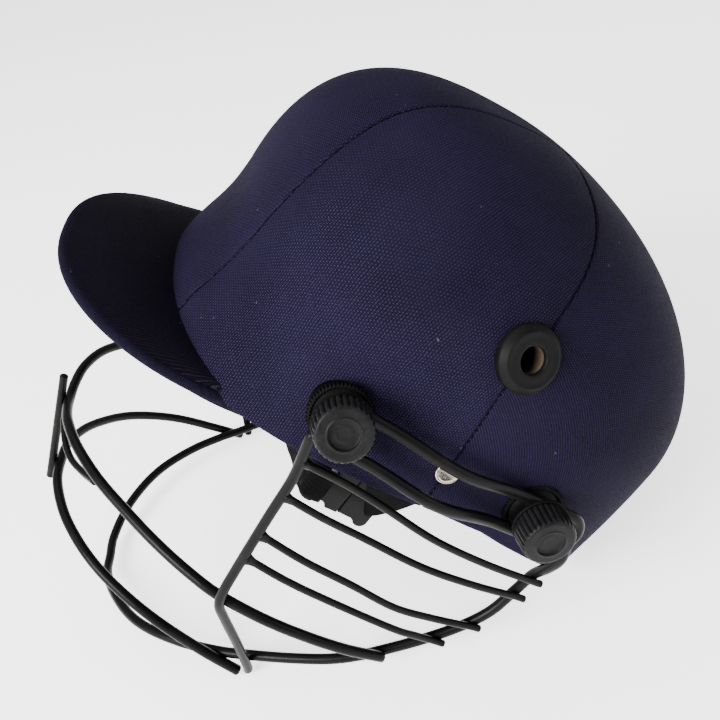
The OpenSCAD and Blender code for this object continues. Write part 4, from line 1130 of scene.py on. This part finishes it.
def swell(pts, faces):
    """The cushion blown up as cloth: it may rise from the foam behind it, and never sinks into it."""
    raw = outward(add_mesh("cushion_raw", pts, faces, pad_mat))
    m = raw.modifiers.new("voxels", "REMESH")
    m.mode = "VOXEL"
    m.voxel_size = VOXEL
    blown = new_object("cushion_work", evaluated(raw))
    m = blown.modifiers.new("cloth", "CLOTH")
    m.settings.use_pressure = True
    m.settings.uniform_pressure_force = PRESSURE
    m.settings.effector_weights.gravity = 0
    for step in range(1, BLOW_FRAMES + 1):
        bpy.context.scene.frame_set(step)
    start = worn(corners(blown.data))
    move = worn(corners(evaluated(blown))) - start
    bpy.context.scene.frame_set(1)
    inward = unit(EYE - start)
    up = (move * inward).sum(1)[:, None]
    side = move - up * inward
    side = side * np.minimum(1, SIDEWAYS / np.maximum(np.linalg.norm(side, axis=1), 1e-6))[:, None]
    got = rest(start + inward * np.clip(up, 0, SWELL) + side)
    blown.modifiers.clear()
    blown.data.vertices.foreach_set("co", got.ravel())
    blown.modifiers.new("fine", "SUBSURF").levels = 1
    me = evaluated(blown)
    bpy.data.objects.remove(raw)
    bpy.data.objects.remove(blown)
    return worn(corners(me)), faces_of(me)


def sewn(pts, az_lines, el_lines):
    """Channels pressed into the face of a cushion where it is sewn through."""
    d = pts - EYE
    far = np.linalg.norm(d, axis=1)
    az, el = np.degrees(np.arctan2(d[:, 1], d[:, 0])), np.degrees(np.arcsin(d[:, 2] / far))
    high = np.linalg.norm(skin(az, el, PAD_OFF) - EYE, axis=1) - far
    gap = np.full(len(pts), 99.0)
    for line in az_lines:
        off = np.radians((az - line + 180) % 360 - 180) * np.cos(np.radians(el)) * far
        gap = np.minimum(gap, np.abs(off))
    for line in el_lines:
        gap = np.minimum(gap, np.abs(np.radians(el - line)) * far)
    press = CHANNEL_PRESS * high * smooth(high / 4) * np.exp(-((gap / CHANNEL_W) ** 2))
    return pts + d / far[:, None] * press[:, None]


def cushion(name, pts, faces, node, az_lines, el_lines):
    pts, faces = swell(pts, faces)
    o = outward(add_mesh(name, sewn(pts, az_lines, el_lines), faces, pad_mat))
    piece(o, "helmet", "pad", node)


def pad_mesh(name, az, el, node):
    n, m = 44, 26
    u, v = np.meshgrid(np.linspace(0, 1, n + 1), np.linspace(0, 1, m + 1))
    a, e = az[0] + (az[1] - az[0]) * u, el[0] + (el[1] - el[0]) * v
    back = skin(a, e, PAD_OFF + 0.1)
    front = skin(a, e, PAD_OFF + (PAD_T - SWELL) * fill(u, v))
    k = (n + 1) * (m + 1)
    pts = np.concatenate([back.reshape(-1, 3), front.reshape(-1, 3)])
    faces = grid_faces(m + 1, n + 1) + grid_faces(m + 1, n + 1, base=k, turn=True)
    grid = np.arange(k).reshape(m + 1, n + 1)
    loop = [*grid[0], *grid[1:, -1], *grid[-1, -2::-1], *grid[-2:0:-1, 0]]
    faces += [(i, j, j + k, i + k) for i, j in zip(loop, loop[1:] + loop[:1])]
    share = (az[1] - az[0]) / 3
    cushion(name, pts, faces, node, (az[0] + share, az[1] - share), ())


pad_mesh("front_pad_cushion", (-135, -45), (-7, 14), "front_pad")
pad_mesh("rear_pad_cushion", (48, 132), (-14, 10), "rear_pad")
pad_mesh("left_pad_cushion", (-36, 30), (-8.5, 26), "left_pad")
pad_mesh("right_pad_cushion", (150, 216), (-8.5, 26), "right_pad")


def crown_cushion():
    n, m = 72, 16
    az = np.arange(n) * 360 / n
    el = [62 + 28 * j / m for j in range(m)]
    tall = [(PAD_T - SWELL) * (EDGE_SHARE + RISE_SHARE * bend(1 - j / m, 3)) for j in range(m)]
    back = [skin(az, e, PAD_OFF + 0.1) for e in el]
    front = [skin(az, e, PAD_OFF + h) for e, h in zip(el, tall)]
    pts = np.array(back[::-1] + front).reshape(-1, 3)
    faces = grid_faces(2 * m, n, wrap=True) + [e[::-1] for e in end_faces(2 * m, n)]
    cushion("crown_pad_cushion", pts, faces, "crown_pad", (), (78,))


crown_cushion()

# Solids that stay shown
paint("shell", shell_mat)
paint("rivet_washers", zinc_mat)

# Stage and light: place, size in metres and power in watts of each lamp, all turned to the same point
LAMPS = {
    "key": ((1.1, -1.15, 0.95), (0.9, 0.9), 105),
    "fill": ((0.5, 1.5, 0.7), (1.0, 0.8), 8),
    "top": ((-0.3, -0.3, 1.9), (1.6, 1.6), 16),
}
LIT_POINT = (0, 0, 0.1)
FLOOR_GLOW, SKY_GLOW = 1.8, 0.6


def stage_and_light():
    k = Look("floor", (0.95, 0.95, 0.95), 0.9, Emission_Color=(1, 1, 1), Emission_Strength=FLOOR_GLOW)
    k.color(k.ramp(k.noise(3, 2), [(0.3, (0.94, 0.94, 0.94)), (0.7, (0.96, 0.96, 0.96))]))
    me = bpy.data.meshes.new("floor")
    s = 6
    me.from_pydata([(-s, -s, 0), (s, -s, 0), (s, s, 0), (-s, s, 0)], [], [(0, 1, 2, 3)])
    me.materials.append(k.m)
    new_object("floor", me)
    world = bpy.data.worlds.new("world")
    bpy.context.scene.world = world
    world.use_nodes = True
    sky = world.node_tree.nodes["Background"]
    sky.inputs[0].default_value = (1, 1, 1, 1)
    sky.inputs[1].default_value = SKY_GLOW
    for name, (place, size, power) in LAMPS.items():
        d = bpy.data.lights.new(name, "AREA")
        d.shape = "RECTANGLE"
        d.size, d.size_y = size
        d.energy = power
        o = new_object(name, d)
        o.location = place
        o.rotation_mode = "QUATERNION"
        o.rotation_quaternion = (Vector(LIT_POINT) - Vector(place)).to_track_quat("-Z", "Y")


stage_and_light()
